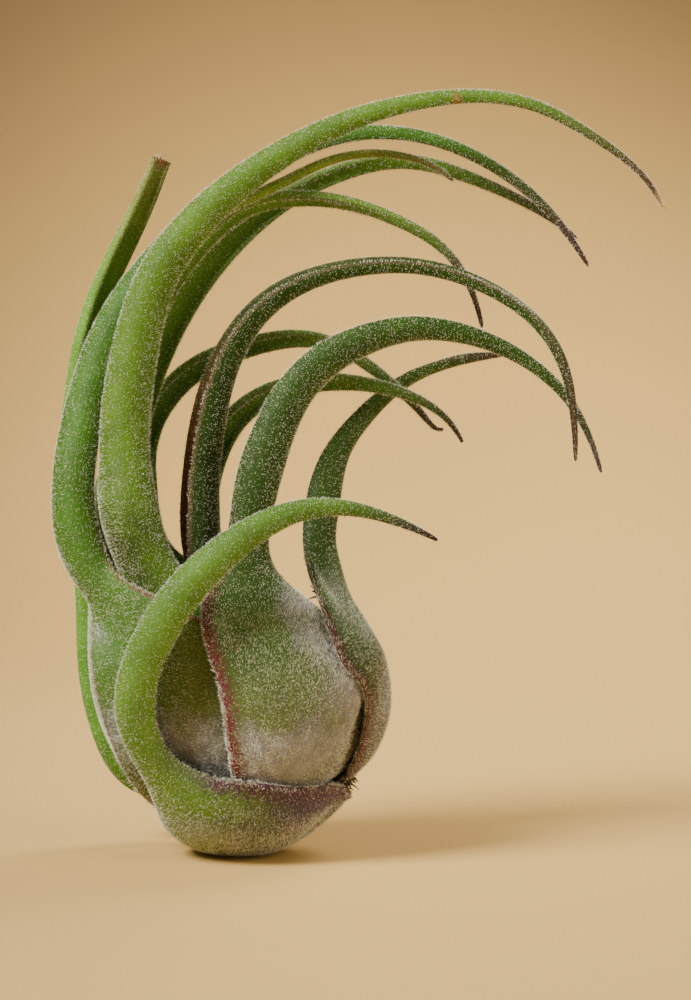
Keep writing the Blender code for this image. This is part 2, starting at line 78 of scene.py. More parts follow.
# What holds for a leaf whose row in LEAVES doesn't say otherwise
LETS_GO = (4.0, 16.0)
HUG = (2.5, 2.5)
ACROSS = 9

# The bulb is flattened a little where it rests, and set down by as much
REST_LEVEL = 1.5

# How finely the leaves are faceted, and how often they are rounded after that
SHEATH_STEP = 4.6
BLADE_STEP = 7.0
ROUNDING_LEVELS = 2


def unit(vector):
    return vector / np.linalg.norm(vector)


def ease(x):
    """From 0 to 1 with a soft start and a soft end."""
    x = np.clip(x, 0.0, 1.0)
    return x * x * (3.0 - 2.0 * x)


STEM_FRONT = unit(np.array([0.0, -1.0, 0.0]) + STEM_WAY[1] * STEM_WAY)
STEM_SIDE = np.cross(STEM_FRONT, STEM_WAY)


def beside_stem(reach, bearing):
    """A point against the stem, this far from the bulb's centre; bearing 0 is the front."""
    lean = math.asin((STEM_RADIUS + 0.8) / reach)
    angle = math.radians(bearing)
    out = math.cos(angle) * STEM_FRONT + math.sin(angle) * STEM_SIDE
    return BULB_CENTRE + reach * (math.cos(lean) * STEM_WAY + math.sin(lean) * out)


# Each leaf, from the innermost to the outermost. It starts beside the stem at
# "root" (reach, bearing). "sheath" rows lie on the bulb: x, y, z of the outer
# face, then the width to the right and to the left of the midrib, seen from
# outside with the tip up. "blade" rows are free: x, y, z of the middle and half
# the width. "faces" turns the channel from the inside of the bend (0) towards
# the front (90) at the start and the end of the blade. "hug" is how far the
# right and the left margin of the sheath sink, "base" its widths at the stem,
# and "lets_go" how far before and after the last sheath row the leaf frees
# itself from the bulb. "across" is the number of points from margin to margin,
# "blunt" a torn tip, and "flat_at" the level under which the leaf is flattened.
LEAVES = {
    "leaf_heart": {
        "root": (9.9, 60),
        "sheath": [],
        "blade": [
            (-3, -4, 36, 1.4), (-12, -3, 48, 1.4), (-19.5, -8, 60, 1.4), (-22.6, -11, 73, 1.4),
            (-22.8, -9.3, 80, 1.4), (-22.8, -7.8, 86.5, 1.4), (-21.8, -6.3, 100, 1.3),
            (-18.7, -5, 111.5, 1.3), (-12, -3.8, 121.2, 1.2), (-3.8, -2.5, 127.5, 1.2),
            (4.5, -1.6, 130.8, 1.1), (12, 0, 135, 1.0), (21, 2, 138, 0.9), (28.5, 2, 138, 0.8),
            (35.5, 1, 136, 0.6), (40, 1, 132.5, 0.4),
        ],
        "faces": (60, 60),
    },
    "leaf_inner": {
        "root": (10.9, -150),
        "sheath": [],
        "blade": [
            (-2, 3, 36, 3.4), (-11, 3, 48, 3.4), (-18, 2, 58.5, 3.1), (-21, 0.5, 70.5, 2.9),
            (-21, -0.5, 84, 2.7), (-19.6, -1.2, 98, 2.6), (-16.6, -0.6, 109.5, 2.5), (-8, 1, 121, 2.3),
            (-0.5, 2, 127.5, 2.1), (8, 2, 129, 2.0), (18, 1, 128.5, 1.7), (27.5, 0, 125.5, 1.4),
            (36.5, -1, 121, 1.1), (42, -2, 115, 0.8), (45.5, -3, 104, 0.4),
        ],
        "faces": (30, 30),
    },
    "leaf_centre": {
        "root": (12.9, 40),
        "sheath": [
            (4, -9, 27, 6, 6), (-3, -12, 38, 8, 7.5), (-7.5, -11.5, 47, 9.5, 9),
        ],
        "blade": [
            (-9.5, -7.5, 54, 5.6), (-10.6, -5, 62, 5.8), (-10.7, -4, 72.5, 5.3), (-9.6, -4, 82.5, 5.0),
            (-7.3, -4, 93, 4.6), (-3, -5, 102.5, 3.9), (3, -6, 109.5, 3.5), (11, -7, 114, 2.9),
            (22, -8, 116.5, 2.4), (33.5, -9, 116.5, 2.1), (45, -10, 113, 1.9), (54.5, -11, 107, 1.6),
            (60, -12, 99.5, 1.2), (62.5, -13, 89.5, 0.8), (63, -13, 78.5, 0.4),
        ],
        "faces": (172, 160),
    },
    "leaf_back_low": {
        "root": (13.9, 115),
        "sheath": [
            (14, 6, 35, 12, 11), (10.5, 4, 49.5, 14, 12), (3.5, 3, 54.5, 10, 8),
        ],
        "blade": [
            (-4, 4, 57.5, 4.6), (-9.5, 7, 64, 3.5), (-8.5, 7, 74, 3.1), (-5.5, 7, 82.5, 2.9), (0, 8, 89, 2.6),
            (8, 8, 92.5, 2.3), (17, 8, 93.5, 1.9), (26, 8, 92.5, 1.4), (31.5, 7, 91, 1.1), (38.5, 6, 87, 0.7),
            (42, 5, 81.5, 0.4),
        ],
        "faces": (60, 60),
    },
    "leaf_back_curled": {
        "root": (14.9, 175),
        "sheath": [
            (12, 15, 29, 14, 14), (2, 19, 40, 17, 20), (-8, 17, 49.5, 11, 13),
        ],
        "blade": [
            (-18, 13.5, 58, 3.4), (-21, 15, 70, 3.0), (-21.5, 15, 80, 2.9), (-17.5, 15, 89.5, 2.8),
            (-10, 14.5, 96.5, 2.6), (-1, 13, 100, 2.3), (8, 12, 102, 2.0), (17, 12, 101, 1.6),
            (23, 12, 97, 1.3), (30, 12, 91.5, 1.0), (34.5, 12, 86.5, 0.7), (37, 12, 83.5, 0.5),
            (38.5, 13, 84, 0.4),
        ],
        "faces": (60, 60),
    },
    "leaf_long": {
        "root": (15.9, 10),
        "sheath": [
            (7, -11, 22, 6, 6), (-4, -16, 32, 9, 9), (-13, -18, 42, 9.5, 9), (-17.5, -17.5, 52, 10, 11),
        ],
        "blade": [
            (-19.8, -15.5, 59, 6.4), (-22.3, -13, 67.5, 6.2), (-23.4, -10, 76, 5.1), (-23.5, -8, 86.5, 4.9),
            (-21.5, -6, 100, 4.7), (-18.5, -5, 111.5, 4.3), (-12, -4, 122, 3.9), (-4.5, -3, 129.5, 3.5),
            (4.5, -3, 136, 3.1), (19, -4, 143.5, 2.4), (33.5, -5, 147.5, 1.9), (45, -6, 148.5, 1.5),
            (56.5, -7, 146.5, 1.2), (67.5, -9, 140, 0.9), (75.5, -10, 134, 0.6), (79.5, -11, 127.5, 0.4),
        ],
        "faces": (-100, -20),
    },
    "leaf_left_back": {
        "root": (17.0, -150),
        "sheath": [
            (8, 17, 19, 17, 12), (-4, 22.5, 26, 33, 16), (-15, 20, 32, 38, 14), (-28, 8.5, 37, 27, 11),
            (-30.8, 6, 46.5, 17, 8),
        ],
        "blade": [
            (-29.5, 7.5, 54.5, 4.7), (-27.5, 6.5, 66.5, 4.1), (-25, 6.5, 78, 4.0), (-21.5, 7, 91, 3.9),
            (-17.5, 7.5, 101.5, 3.9), (-12, 8, 111.5, 3.9), (-5.5, 8.5, 119.5, 3.5), (3, 9, 126.5, 2.5),
            (12, 9, 132, 2.0), (21, 9, 135.5, 1.8), (29.5, 9, 137, 1.6), (39.5, 9, 135, 1.4),
            (49.5, 9, 131, 1.1), (59, 9, 126, 0.8), (64.5, 9, 121.5, 0.4),
        ],
        "faces": (60, 60),
    },
    "leaf_front_left": {
        "root": (17.9, -16),
        "sheath": [
            (4, -18.5, 24, 13, 23), (-3.5, -20.5, 29, 13, 26), (-10, -20.5, 34.5, 13, 21),
            (-23, -14.5, 47.5, 6.5, 7.5),
        ],
        "lets_go": (6.0, 18.0),
        "hug": (1.0, -7.0),
        "across": 11,
        "blade": [
            (-30, -8, 57, 5.5), (-33.2, -6, 68, 4.9), (-32.7, -4, 79.5, 4.7), (-30.6, -0.7, 90.5, 4.5),
            (-26.5, 2, 103, 4.3), (-19.5, 4, 114.5, 3.7), (-10.5, 6, 124.5, 3.1), (2.5, 8, 134.5, 2.5),
            (16, 8, 141, 2.0), (29.5, 8, 142, 1.7), (41.5, 7, 139, 1.4), (52, 6, 133, 1.1),
            (61, 5, 124.5, 0.8), (66.5, 4, 116, 0.4),
        ],
        "faces": (-50, -20),
    },
    "leaf_front_right": {
        "root": (19.1, 30),
        "sheath": [
            (14.5, -19.5, 21.5, 23.5, 18), (11, -25, 29.5, 28, 16), (6, -24, 41, 18, 12),
            (1, -17.5, 51, 14, 9),
        ],
        "hug": (-0.8, 0.5),
        "across": 11,
        "blade": [
            (0.1, -13.2, 60.8, 4.8), (1.5, -12, 73, 4.6), (5.5, -11, 85.5, 4.2), (12, -10, 96, 3.9),
            (22, -9, 102, 3.3), (32.5, -8, 104.5, 2.7), (43, -7, 103, 2.1), (52.5, -6, 99, 1.6),
            (60.5, -6, 92.5, 1.1), (65.5, -5, 85, 0.7), (68.5, -5, 76, 0.4),
        ],
        "faces": (-100, -150),
    },
    "leaf_right": {
        "root": (19.6, 95),
        "sheath": [
            (24.5, 4, 22.5, 20, 14), (28.5, 2, 31.5, 30, 18), (25.4, 2, 42, 28, 21.5),
            (19.8, 1, 51.5, 11, 21),
        ],
        "lets_go": (2.0, 11.0),
        "hug": (1.0, 4.0),
        "across": 11,
        "blade": [
            (13.8, 3.3, 58, 5.5), (13.5, 6.5, 68.5, 4.4), (16.0, 11, 79, 3.5), (23, 15, 88, 2.7),
            (31, 19, 94.5, 2.1), (40, 22, 97.5, 1.5), (51, 25, 98.5, 0.4),
        ],
        "faces": (240, 170),
    },
    "leaf_cut_tip": {
        "root": (20.2, -130),
        "sheath": [
            (13, 15, 12, 18, 15), (2, 20.5, 11.5, 25, 18), (-9, 21, 11, 17, 14),
        ],
        "hug": (1.0, 1.0),
        "blade": [
            (-19, 16.5, 10.8, 3.4), (-25, 13, 15.5, 2.9), (-28.7, 12, 24, 3.1), (-31.2, 12.5, 33.5, 3.0),
            (-32, 13.8, 44, 2.8), (-32.6, 13.5, 58, 2.7), (-35, 11.5, 74, 2.7), (-34, 9, 90, 2.7),
            (-31.3, 8, 103.5, 2.9), (-26.7, 8, 115.5, 2.8), (-21.1, 8, 127, 2.5), (-17, 8, 137, 2.0),
        ],
        "faces": (-75, 60),
        "blunt": True,
    },
    "leaf_front_low": {
        "root": (20.8, -50),
        "sheath": [
            (15.5, -12.5, 11.5, 4.5, 24), (6, -18.5, 7.5, 11.4, 34), (-4.5, -20.5, 8, 12.6, 31),
            (-12.5, -21.5, 12.5, 9.5, 17),
        ],
        "base": (1.2, 7.5),
        "across": 11,
        "hug": (4.0, 1.0),
        "blade": [
            (-17, -21, 20.5, 4.6), (-20.5, -23, 29, 4.4), (-20.5, -24.5, 36.5, 4.3), (-17.5, -26, 44.5, 4.2),
            (-12.5, -27, 53, 4.1), (-5.5, -27, 60.5, 3.7), (2.5, -26, 66.5, 3.0), (12.5, -25, 70.5, 2.1),
            (21.5, -24, 70, 1.5), (29.5, -23, 67.5, 0.9), (36.5, -22, 64, 0.4),
        ],
        "faces": (-45, -45),
        "flat_at": REST_LEVEL,
    },
}


def bend_through(rows, stations):
    """Values on a smooth curve through the rows at these lengths along it."""
    rows = np.asarray(rows, float)
    steps = np.linalg.norm(np.diff(rows[:, :3], axis=0), axis=1)
    knots = np.concatenate([[0.0], np.cumsum(steps)])
    count = len(rows)
    system = np.eye(count)
    right = np.zeros_like(rows)
    for i in range(1, count - 1):
        system[i, i - 1] = steps[i - 1]
        system[i, i] = 2.0 * (steps[i - 1] + steps[i])
        system[i, i + 1] = steps[i]
        slope = (rows[i + 1] - rows[i]) / steps[i] - (rows[i] - rows[i - 1]) / steps[i - 1]
        right[i] = 6.0 * slope
    second = np.linalg.solve(system, right)
    at = np.clip(stations, 0.0, knots[-1])
    i = np.clip(np.searchsorted(knots, at, side="right") - 1, 0, count - 2)
    span = steps[i][:, None]
    after = (at - knots[i])[:, None]
    before = span - after
    smooth = (second[i] * before**3 + second[i + 1] * after**3) / (6.0 * span)
    smooth += (rows[i] / span - second[i] * span / 6.0) * before
    smooth += (rows[i + 1] / span - second[i + 1] * span / 6.0) * after
    return smooth


def total_length(rows):
    return float(np.linalg.norm(np.diff(np.asarray(rows)[:, :3], axis=0), axis=1).sum())


def stations_of(joint, length):
    """Ring positions: close together on the bulb, wider apart on the blade."""
    on_bulb = max(2, round(joint / SHEATH_STEP))
    on_blade = max(6, round((length - joint) / BLADE_STEP))
    blade = np.linspace(joint, length, on_blade + 1)[1:]
    near_tip = np.array([length - 2.2, length])
    blade = np.concatenate([blade[blade < length - 4.0], near_tip])
    return np.concatenate([np.linspace(0.0, joint, on_bulb + 1), blade])


def spine_of(leaf):
    """Points, widths, how much each ring is draped on the bulb, and directions."""
    root = beside_stem(*leaf["root"])
    first = INNER_BASE_HALF if leaf["root"][0] < OUTER_FROM else OUTER_BASE_HALF
    sheath = [(*root, *leaf.get("base", (first, first)))] + [tuple(row) for row in leaf["sheath"]]
    if not leaf["sheath"]:
        first = leaf["blade"][0][3]
        sheath = [(*root, first, first)]
    blade = [(x, y, z, half, half) for x, y, z, half in leaf["blade"]]
    rows = sheath + blade
    length = total_length(rows)
    joint = total_length(rows[: len(sheath)])
    before, after = leaf.get("lets_go", LETS_GO)
    free_from, free_by = joint - before, joint + after
    at = stations_of(joint, length)
    found = bend_through(rows, at)
    fine = np.linspace(0.0, length, 400)
    dense = bend_through(rows, fine)[:, :3]
    slopes = np.gradient(dense, fine, axis=0)
    along = np.stack([np.interp(at, fine, slopes[:, k]) for k in range(3)], axis=1)
    along /= np.linalg.norm(along, axis=1)[:, None]
    if leaf["sheath"]:
        draped = 1.0 - ease((at - free_from) / (free_by - free_from))
    else:
        draped = np.zeros(len(at))
    halves = np.maximum(found[:, 3:5], FINEST_HALF)
    return at / length, found[:, :3], halves, draped, along


def frames_of(leaf, share, points, draped, along):
    """For each ring, the way the channel opens and the way across it."""
    start, end = leaf["faces"]
    front = np.array([0.0, -1.0, 0.0])
    opens = np.empty_like(points)
    across = np.empty_like(points)
    for i, way in enumerate(along):
        inside = unit(np.cross([0.0, 1.0, 0.0], way))
        side = -np.cross(way, inside)
        if side @ front < 0.0:
            side = -side
        turn = math.radians(start + (end - start) * share[i])
        free = math.cos(turn) * inside + math.sin(turn) * side
        towards = unit(BULB_CENTRE - points[i])
        mixed = (1.0 - draped[i]) * free + draped[i] * towards
        mixed -= way * (mixed @ way)
        opens[i] = unit(mixed)
        across[i] = unit(np.cross(way, opens[i]))
    return opens, across


def channel_section(half, spots):
    """A C-shaped section: (across, opening) pairs of its outer and its channel side."""
    bend = math.radians(CHANNEL_SIDES)
    fill = ease((2.4 - half) / 1.5)
    outer = np.stack([half * np.sin(bend * spots), -half * np.cos(bend * spots)], axis=1)
    edge_x = half * math.sin(bend)
    edge_n = -half * math.cos(bend)
    wall = min(MARGIN_THICK, 0.4 * half)
    thick = 0.75 + 0.34 * half
    depth = edge_n + half - thick
    depth = (1.0 - fill) * depth - fill * 0.66 * half
    inner_x = (edge_x - (1.0 - fill) * wall - fill * 0.16 * half) * np.sin(math.pi / 2 * spots)
    inner_n = edge_n + 0.08 * half - depth * np.cos(math.pi / 2 * spots)
    return outer, np.stack([inner_x, inner_n], axis=1)


def way_across(centre, side, width):
    """The way this wide of a sheath's midrib: straight across, or curled round the stem near it."""
    straight = math.cos(width) * centre + math.sin(width) * side
    away = math.acos(np.clip(centre @ STEM_WAY, -1.0, 1.0))
    clasp = 1.0 - ease((away - 0.3) / 0.9)
    turn = np.clip(width / math.sin(away), -2.7, 2.7)
    curled = centre * math.cos(turn) + np.cross(STEM_WAY, centre) * math.sin(turn)
    curled = curled + STEM_WAY * (STEM_WAY @ centre) * (1.0 - math.cos(turn))
    return unit((1.0 - clasp) * straight + clasp * curled)


def outermost(trees, way, limit):
    """How far out the leaves already placed reach along this way from the bulb's centre."""
    start = Vector(BULB_CENTRE + way * limit)
    reach = 0.0
    for tree in trees:
        hit = tree.ray_cast(start, Vector(-way), limit)
        if hit[0] is not None:
            reach = max(reach, limit - hit[3])
    return reach


def sheath_faces(leaf, points, halves, draped, across, trees, spots):
    """The inner and the outer face of the part wrapped round the bulb."""
    hug = leaf.get("hug", HUG)
    rings = [i for i in range(len(points)) if draped[i] > 0.0]
    if not rings:
        return rings, None, None
    ways = np.zeros((len(rings), len(spots), 3))
    aim = np.zeros((len(rings), len(spots)))
    floor = np.zeros((len(rings), len(spots)))
    walls = np.zeros((len(rings), len(spots)))
    for row, i in enumerate(rings):
        thick = MARGIN_THICK + PLUMP * (1.0 - spots**2) * min(1.0, i / 3.0)
        walls[row] = thick
        reach = np.linalg.norm(points[i] - BULB_CENTRE)
        centre = (points[i] - BULB_CENTRE) / reach
        side = unit(across[i] - centre * (across[i] @ centre))
        for k, spot in enumerate(spots):
            hand = 1 if spot > 0 else 0
            width = spot * halves[i][hand] / reach
            ways[row, k] = way_across(centre, side, width)
            sunk = hug[hand] * spot * spot * min(1.0, halves[i].mean() / 10.0)
            aim[row, k] = reach - thick[k] - sunk
            limit = reach + 5.0
            # The leaves inside are felt for here and a little beside, ahead and behind
            beside = 0.6 * halves[i].mean() * (spots[1] - spots[0]) / reach
            ahead = 0.6 * SHEATH_STEP / reach
            near = [outermost(trees, ways[row, k], limit)]
            for sign in (-1.0, 1.0):
                tilted = unit(ways[row, k] + sign * beside * side)
                near.append(outermost(trees, tilted, limit))
                tilted = unit(ways[row, k] + sign * ahead * np.cross(side, centre))
                near.append(outermost(trees, tilted, limit))
            floor[row, k] = max(near) + LAYER_GAP if max(near) > 0.0 else 0.0
    inner = np.maximum(aim, floor)
    for _ in range(4):
        padded = np.pad(inner, 1, mode="edge")
        mean = (padded[:-2, 1:-1] + padded[2:, 1:-1] + padded[1:-1, :-2] + padded[1:-1, 2:]) / 4.0
        inner = np.maximum(0.5 * inner + 0.5 * mean, floor)
    inside = np.array(BULB_CENTRE) + ways * inner[..., None]
    outside = np.array(BULB_CENTRE) + ways * (inner + walls)[..., None]
    return rings, inside, outside


def finer(grid, parts):
    """The grid with each of its cells split into this many parts both ways."""
    rows, columns = grid.shape[:2]
    at = np.linspace(0.0, rows - 1.0, parts * (rows - 1) + 1)
    low = np.minimum(at.astype(int), rows - 2)
    share = (at - low)[:, None, None]
    tall = (1.0 - share) * grid[low] + share * grid[low + 1]
    at = np.linspace(0.0, columns - 1.0, parts * (columns - 1) + 1)
    low = np.minimum(at.astype(int), columns - 2)
    share = (at - low)[None, :, None]
    return (1.0 - share) * tall[:, low] + share * tall[:, low + 1]


def clear_of_inner(made, draped, trees):
    """Lifts the rings on and near the bulb off the leaves inside them."""
    parts = 4
    deep, shallow = 8.0, 3.0  # how far out a leaf inside is looked for, on the bulb and past it
    count = min(len(made), int(np.count_nonzero(draped > 0.0)) + 1)
    half = made.shape[1] // 2
    for _ in range(2):
        low = finer(made[:count, half:][:, ::-1], parts)
        lift = np.zeros(low.shape[:2])
        for i in range(len(low)):
            far = deep if draped[min(count - 1, round(i / parts))] > 0.8 else shallow
            for k in range(low.shape[1]):
                away = low[i, k] - BULB_CENTRE
                reach = np.linalg.norm(away)
                found = outermost(trees, away / reach, reach + far)
                if found > 0.0:
                    lift[i, k] = max(0.0, found + LAYER_GAP - reach)
        padded = np.pad(lift, parts - 1, mode="edge")
        steps = range(2 * parts - 1)
        shape = lift.shape
        around = [padded[i : i + shape[0], k : k + shape[1]] for i in steps for k in steps]
        lift = np.max(around, axis=0)[::parts, ::parts]
        for side in (made[:count, :half], made[:count, half:][:, ::-1]):
            away = side - BULB_CENTRE
            away /= np.linalg.norm(away, axis=2)[..., None]
            side += lift[..., None] * away
    return made


def leaf_rings(leaf, trees):
    """Closed rings of points from the base to the tip."""
    share, points, halves, draped, along = spine_of(leaf)
    opens, across = frames_of(leaf, share, points, draped, along)
    spots = np.linspace(-1.0, 1.0, leaf.get("across", ACROSS))
    rings, inside, outside = sheath_faces(leaf, points, halves, draped, across, trees, spots)
    made = []
    for i, point in enumerate(points):
        half = halves[i].mean() / (1.0 + 0.83 * draped[i])
        if draped[i] > 0.0:
            half = min(half, 1.25 * leaf["blade"][0][3])
        outer, inner = channel_section(half, spots)
        lift = np.array([0.0, draped[i] * half])
        outer = point + (outer + lift) @ np.stack([across[i], opens[i]])
        inner = point + (inner + lift) @ np.stack([across[i], opens[i]])
        if draped[i] > 0.0:
            row = rings.index(i)
            outer = (1.0 - draped[i]) * outer + draped[i] * outside[row]
            inner = (1.0 - draped[i]) * inner + draped[i] * inside[row]
        made.append(np.concatenate([outer, inner[::-1]]))
    made = clear_of_inner(np.array(made), draped, trees)
    made = clear_of_touch(made, trees)
    if "flat_at" in leaf:
        lowest = leaf["flat_at"]
        half = len(spots)
        made[:, :half, 2] = np.maximum(made[:, :half, 2], lowest)
        made[:, half:, 2] = np.maximum(made[:, half:, 2], lowest + THINNEST)
    if not leaf.get("blunt"):
        made[-1] = points[-1] + 0.8 * (made[-1] - points[-1])
    return made


def rings_to_faces(rings):
    """Quads between the rings, and strips that close both ends, to feel for touching leaves."""
    count, around = len(rings), rings.shape[1]
    faces = []
    for i in range(count - 1):
        for k in range(around):
            low, high = i * around, (i + 1) * around
            step = (k + 1) % around
            faces.append((low + k, low + step, high + step, high + k))
    for i, flip in ((0, True), (count - 1, False)):
        base = i * around
        for k in range(around // 2 - 1):
            quad = (base + k, base + k + 1, base + around - 2 - k, base + around - 1 - k)
            faces.append(quad[::-1] if flip else quad)
    return faces


def tree_of(points, faces):
    flat = [Vector(p) for p in np.asarray(points)]
    return BVHTree.FromPolygons(flat, faces)


def clear_of_touch(made, trees):
    """Lifts the leaf in small steps wherever it would still touch a leaf inside it.

    Faces that start at the base ring are cleared by moving the base ring alone.
    """
    half = made.shape[1] // 2
    around = 2 * half
    faces = rings_to_faces(made)
    for _ in range(10):
        away = made - BULB_CENTRE
        away /= np.linalg.norm(away, axis=2)[..., None]
        nearer = made.copy()
        nearer[:, half:] -= TOUCH_GAP * away[:, half:]
        tree = tree_of(nearer.reshape(-1, 3), faces)
        touched = {face for other in trees for face, _ in tree.overlap(other)}
        if not touched:
            break
        lift = np.zeros((len(made), half))
        for face in touched:
            for point in faces[face]:
                i, k = divmod(point, around)
                if i == 0 or face >= around:
                    lift[i, min(k, around - 1 - k)] = TOUCH_STEP
        made[:, :half] += lift[..., None] * away[:, :half]
        made[:, half:] += lift[:, ::-1, None] * away[:, half:]
    return made


def stem_shape():
    """Points and faces of the stem solid, which the leaves are wrapped round."""
    profile = [
        (STEM_INNER, 1.6),
        (STEM_INNER + 0.8, 2.5),
        (STEM_INNER + 3.0, STEM_RADIUS),
        (STEM_OUTER - 6.0, STEM_RADIUS),
        (STEM_OUTER - 2.0, STEM_RADIUS - 0.2),
        (STEM_OUTER, STEM_RADIUS - 0.6),
    ]
    sides = 14
    points = []
    for reach, radius in profile:
        for k in range(sides):
            angle = 2.0 * math.pi * k / sides
            rough = 1.0 - 0.08 * (0.5 + 0.5 * math.sin(5.0 * angle + reach))
            out = math.cos(angle) * STEM_FRONT + math.sin(angle) * STEM_SIDE
            broken = 0.6 * math.sin(3.0 * angle) if reach == STEM_OUTER else 0.0
            points.append(BULB_CENTRE + (reach + broken) * STEM_WAY + radius * rough * out)
    faces = []
    for i in range(len(profile) - 1):
        for k in range(sides):
            step = (k + 1) % sides
            low, high = i * sides, (i + 1) * sides
            faces.append((low + k, low + step, high + step, high + k))
    faces.append(tuple(range(sides)))
    faces.append(tuple(range(len(points) - 1, len(points) - 1 - sides, -1)))
    return points, faces


def set_down(points):
    """Places in metres, with the plant resting on the floor."""
    return (np.asarray(points, float) - np.array([0.0, 0.0, REST_LEVEL])) * MM


def loft(rings, places=None, edges_mm=None):
    """A closed skin: each ring is extruded from the last one, and both ends get strips of quads."""
    work = bmesh.new()
    if places is not None:
        place_layer = work.verts.layers.float_vector.new("leaf_place")
        edge_layer = work.verts.layers.float.new("edge_mm")
    around = rings.shape[1]
    ring = list(bmesh.ops.create_circle(work, segments=around, radius=1.0)["verts"])
    edges = list(work.edges)
    grid = []
    for i, row in enumerate(rings):
        if i:
            made = bmesh.ops.extrude_edge_only(work, edges=edges)["geom"]
            fresh = {v for v in made if isinstance(v, bmesh.types.BMVert)}
            edges = [e for e in made if isinstance(e, bmesh.types.BMEdge) and set(e.verts) <= fresh]
            ring = [next(e.other_vert(v) for e in v.link_edges if e.other_vert(v) in fresh) for v in ring]
        for k, vert in enumerate(ring):
            vert.co = row[k]
            if places is not None:
                vert[place_layer] = places[i, k]
                vert[edge_layer] = edges_mm[i, k]
        grid.append(ring)
    for ring in (grid[0], grid[-1]):
        bmesh.ops.contextual_create(work, geom=ring)
        for k in range(1, around // 2 - 1):
            bmesh.ops.connect_verts(work, verts=[ring[k], ring[around - 1 - k]])
    bmesh.ops.recalc_face_normals(work, faces=work.faces)
    # Extruding leaves edges and faces in a chance order, so they are sorted: each run gives the same mesh
    number = {vert: i for i, vert in enumerate(vert for ring in grid for vert in ring)}
    work.verts.sort(key=number.get)
    work.verts.index_update()
    for kind in (work.edges, work.faces):
        kind.sort(key=lambda part: 1e6 * min(v.index for v in part.verts) + max(v.index for v in part.verts))
        kind.index_update()
    return work


def piece_from(work, name, material, replaced=None):
    """A smooth-shaded object from the bmesh, riding on the plant."""
    mesh = bpy.data.meshes.new(name)
    work.to_mesh(mesh)
    work.free()
    mesh.materials.append(material)
    mesh.shade_smooth()
    piece = bpy.data.objects.new(name, mesh)
    bpy.context.scene.collection.objects.link(piece)
    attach(piece, "root")
    if replaced:
        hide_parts(replaced)
    return piece


def rounded(piece, levels=ROUNDING_LEVELS):
    """The piece with a live rounding of its facets."""
    modifier = piece.modifiers.new("Rounding", "SUBSURF")
    modifier.levels = levels
    modifier.render_levels = levels
    return piece


def linear(text):
    """Linear colour from an sRGB hex code."""
    parts = [int(text[i : i + 2], 16) / 255.0 for i in (1, 3, 5)]
    return (*[c / 12.92 if c <= 0.04045 else ((c + 0.055) / 1.055) ** 2.4 for c in parts], 1.0)


def add_node(tree, kind, inputs=None, stops=(), **settings):
    """Adds a node with its settings and links, and the places and colours of a ramp.

    An input is a value, a socket that it is linked from, or a node whose first output it is linked from.
    """
    node = tree.nodes.new("ShaderNode" + kind)
    for key, value in settings.items():
        setattr(node, key, value)
    for key, value in (inputs or {}).items():
        if isinstance(value, bpy.types.Node):
            value = value.outputs[0]
        if isinstance(value, bpy.types.NodeSocket):
            tree.links.new(value, node.inputs[key])
        else:
            node.inputs[key].default_value = value
    if stops:
        ramp = node.color_ramp.elements
        while len(ramp) < len(stops):
            ramp.new(0.5)
        for stop, (at, hexed) in zip(ramp, stops):
            stop.position = at
            stop.color = linear(hexed)
    return node


def new_material(name, values):
    """A material, its nodes and its surface shader with these values."""
    material = bpy.data.materials.new(name)
    material.use_nodes = True
    shader = material.node_tree.nodes["Principled BSDF"]
    for key, value in values.items():
        shader.inputs[key].default_value = value
    return material, material.node_tree, shader


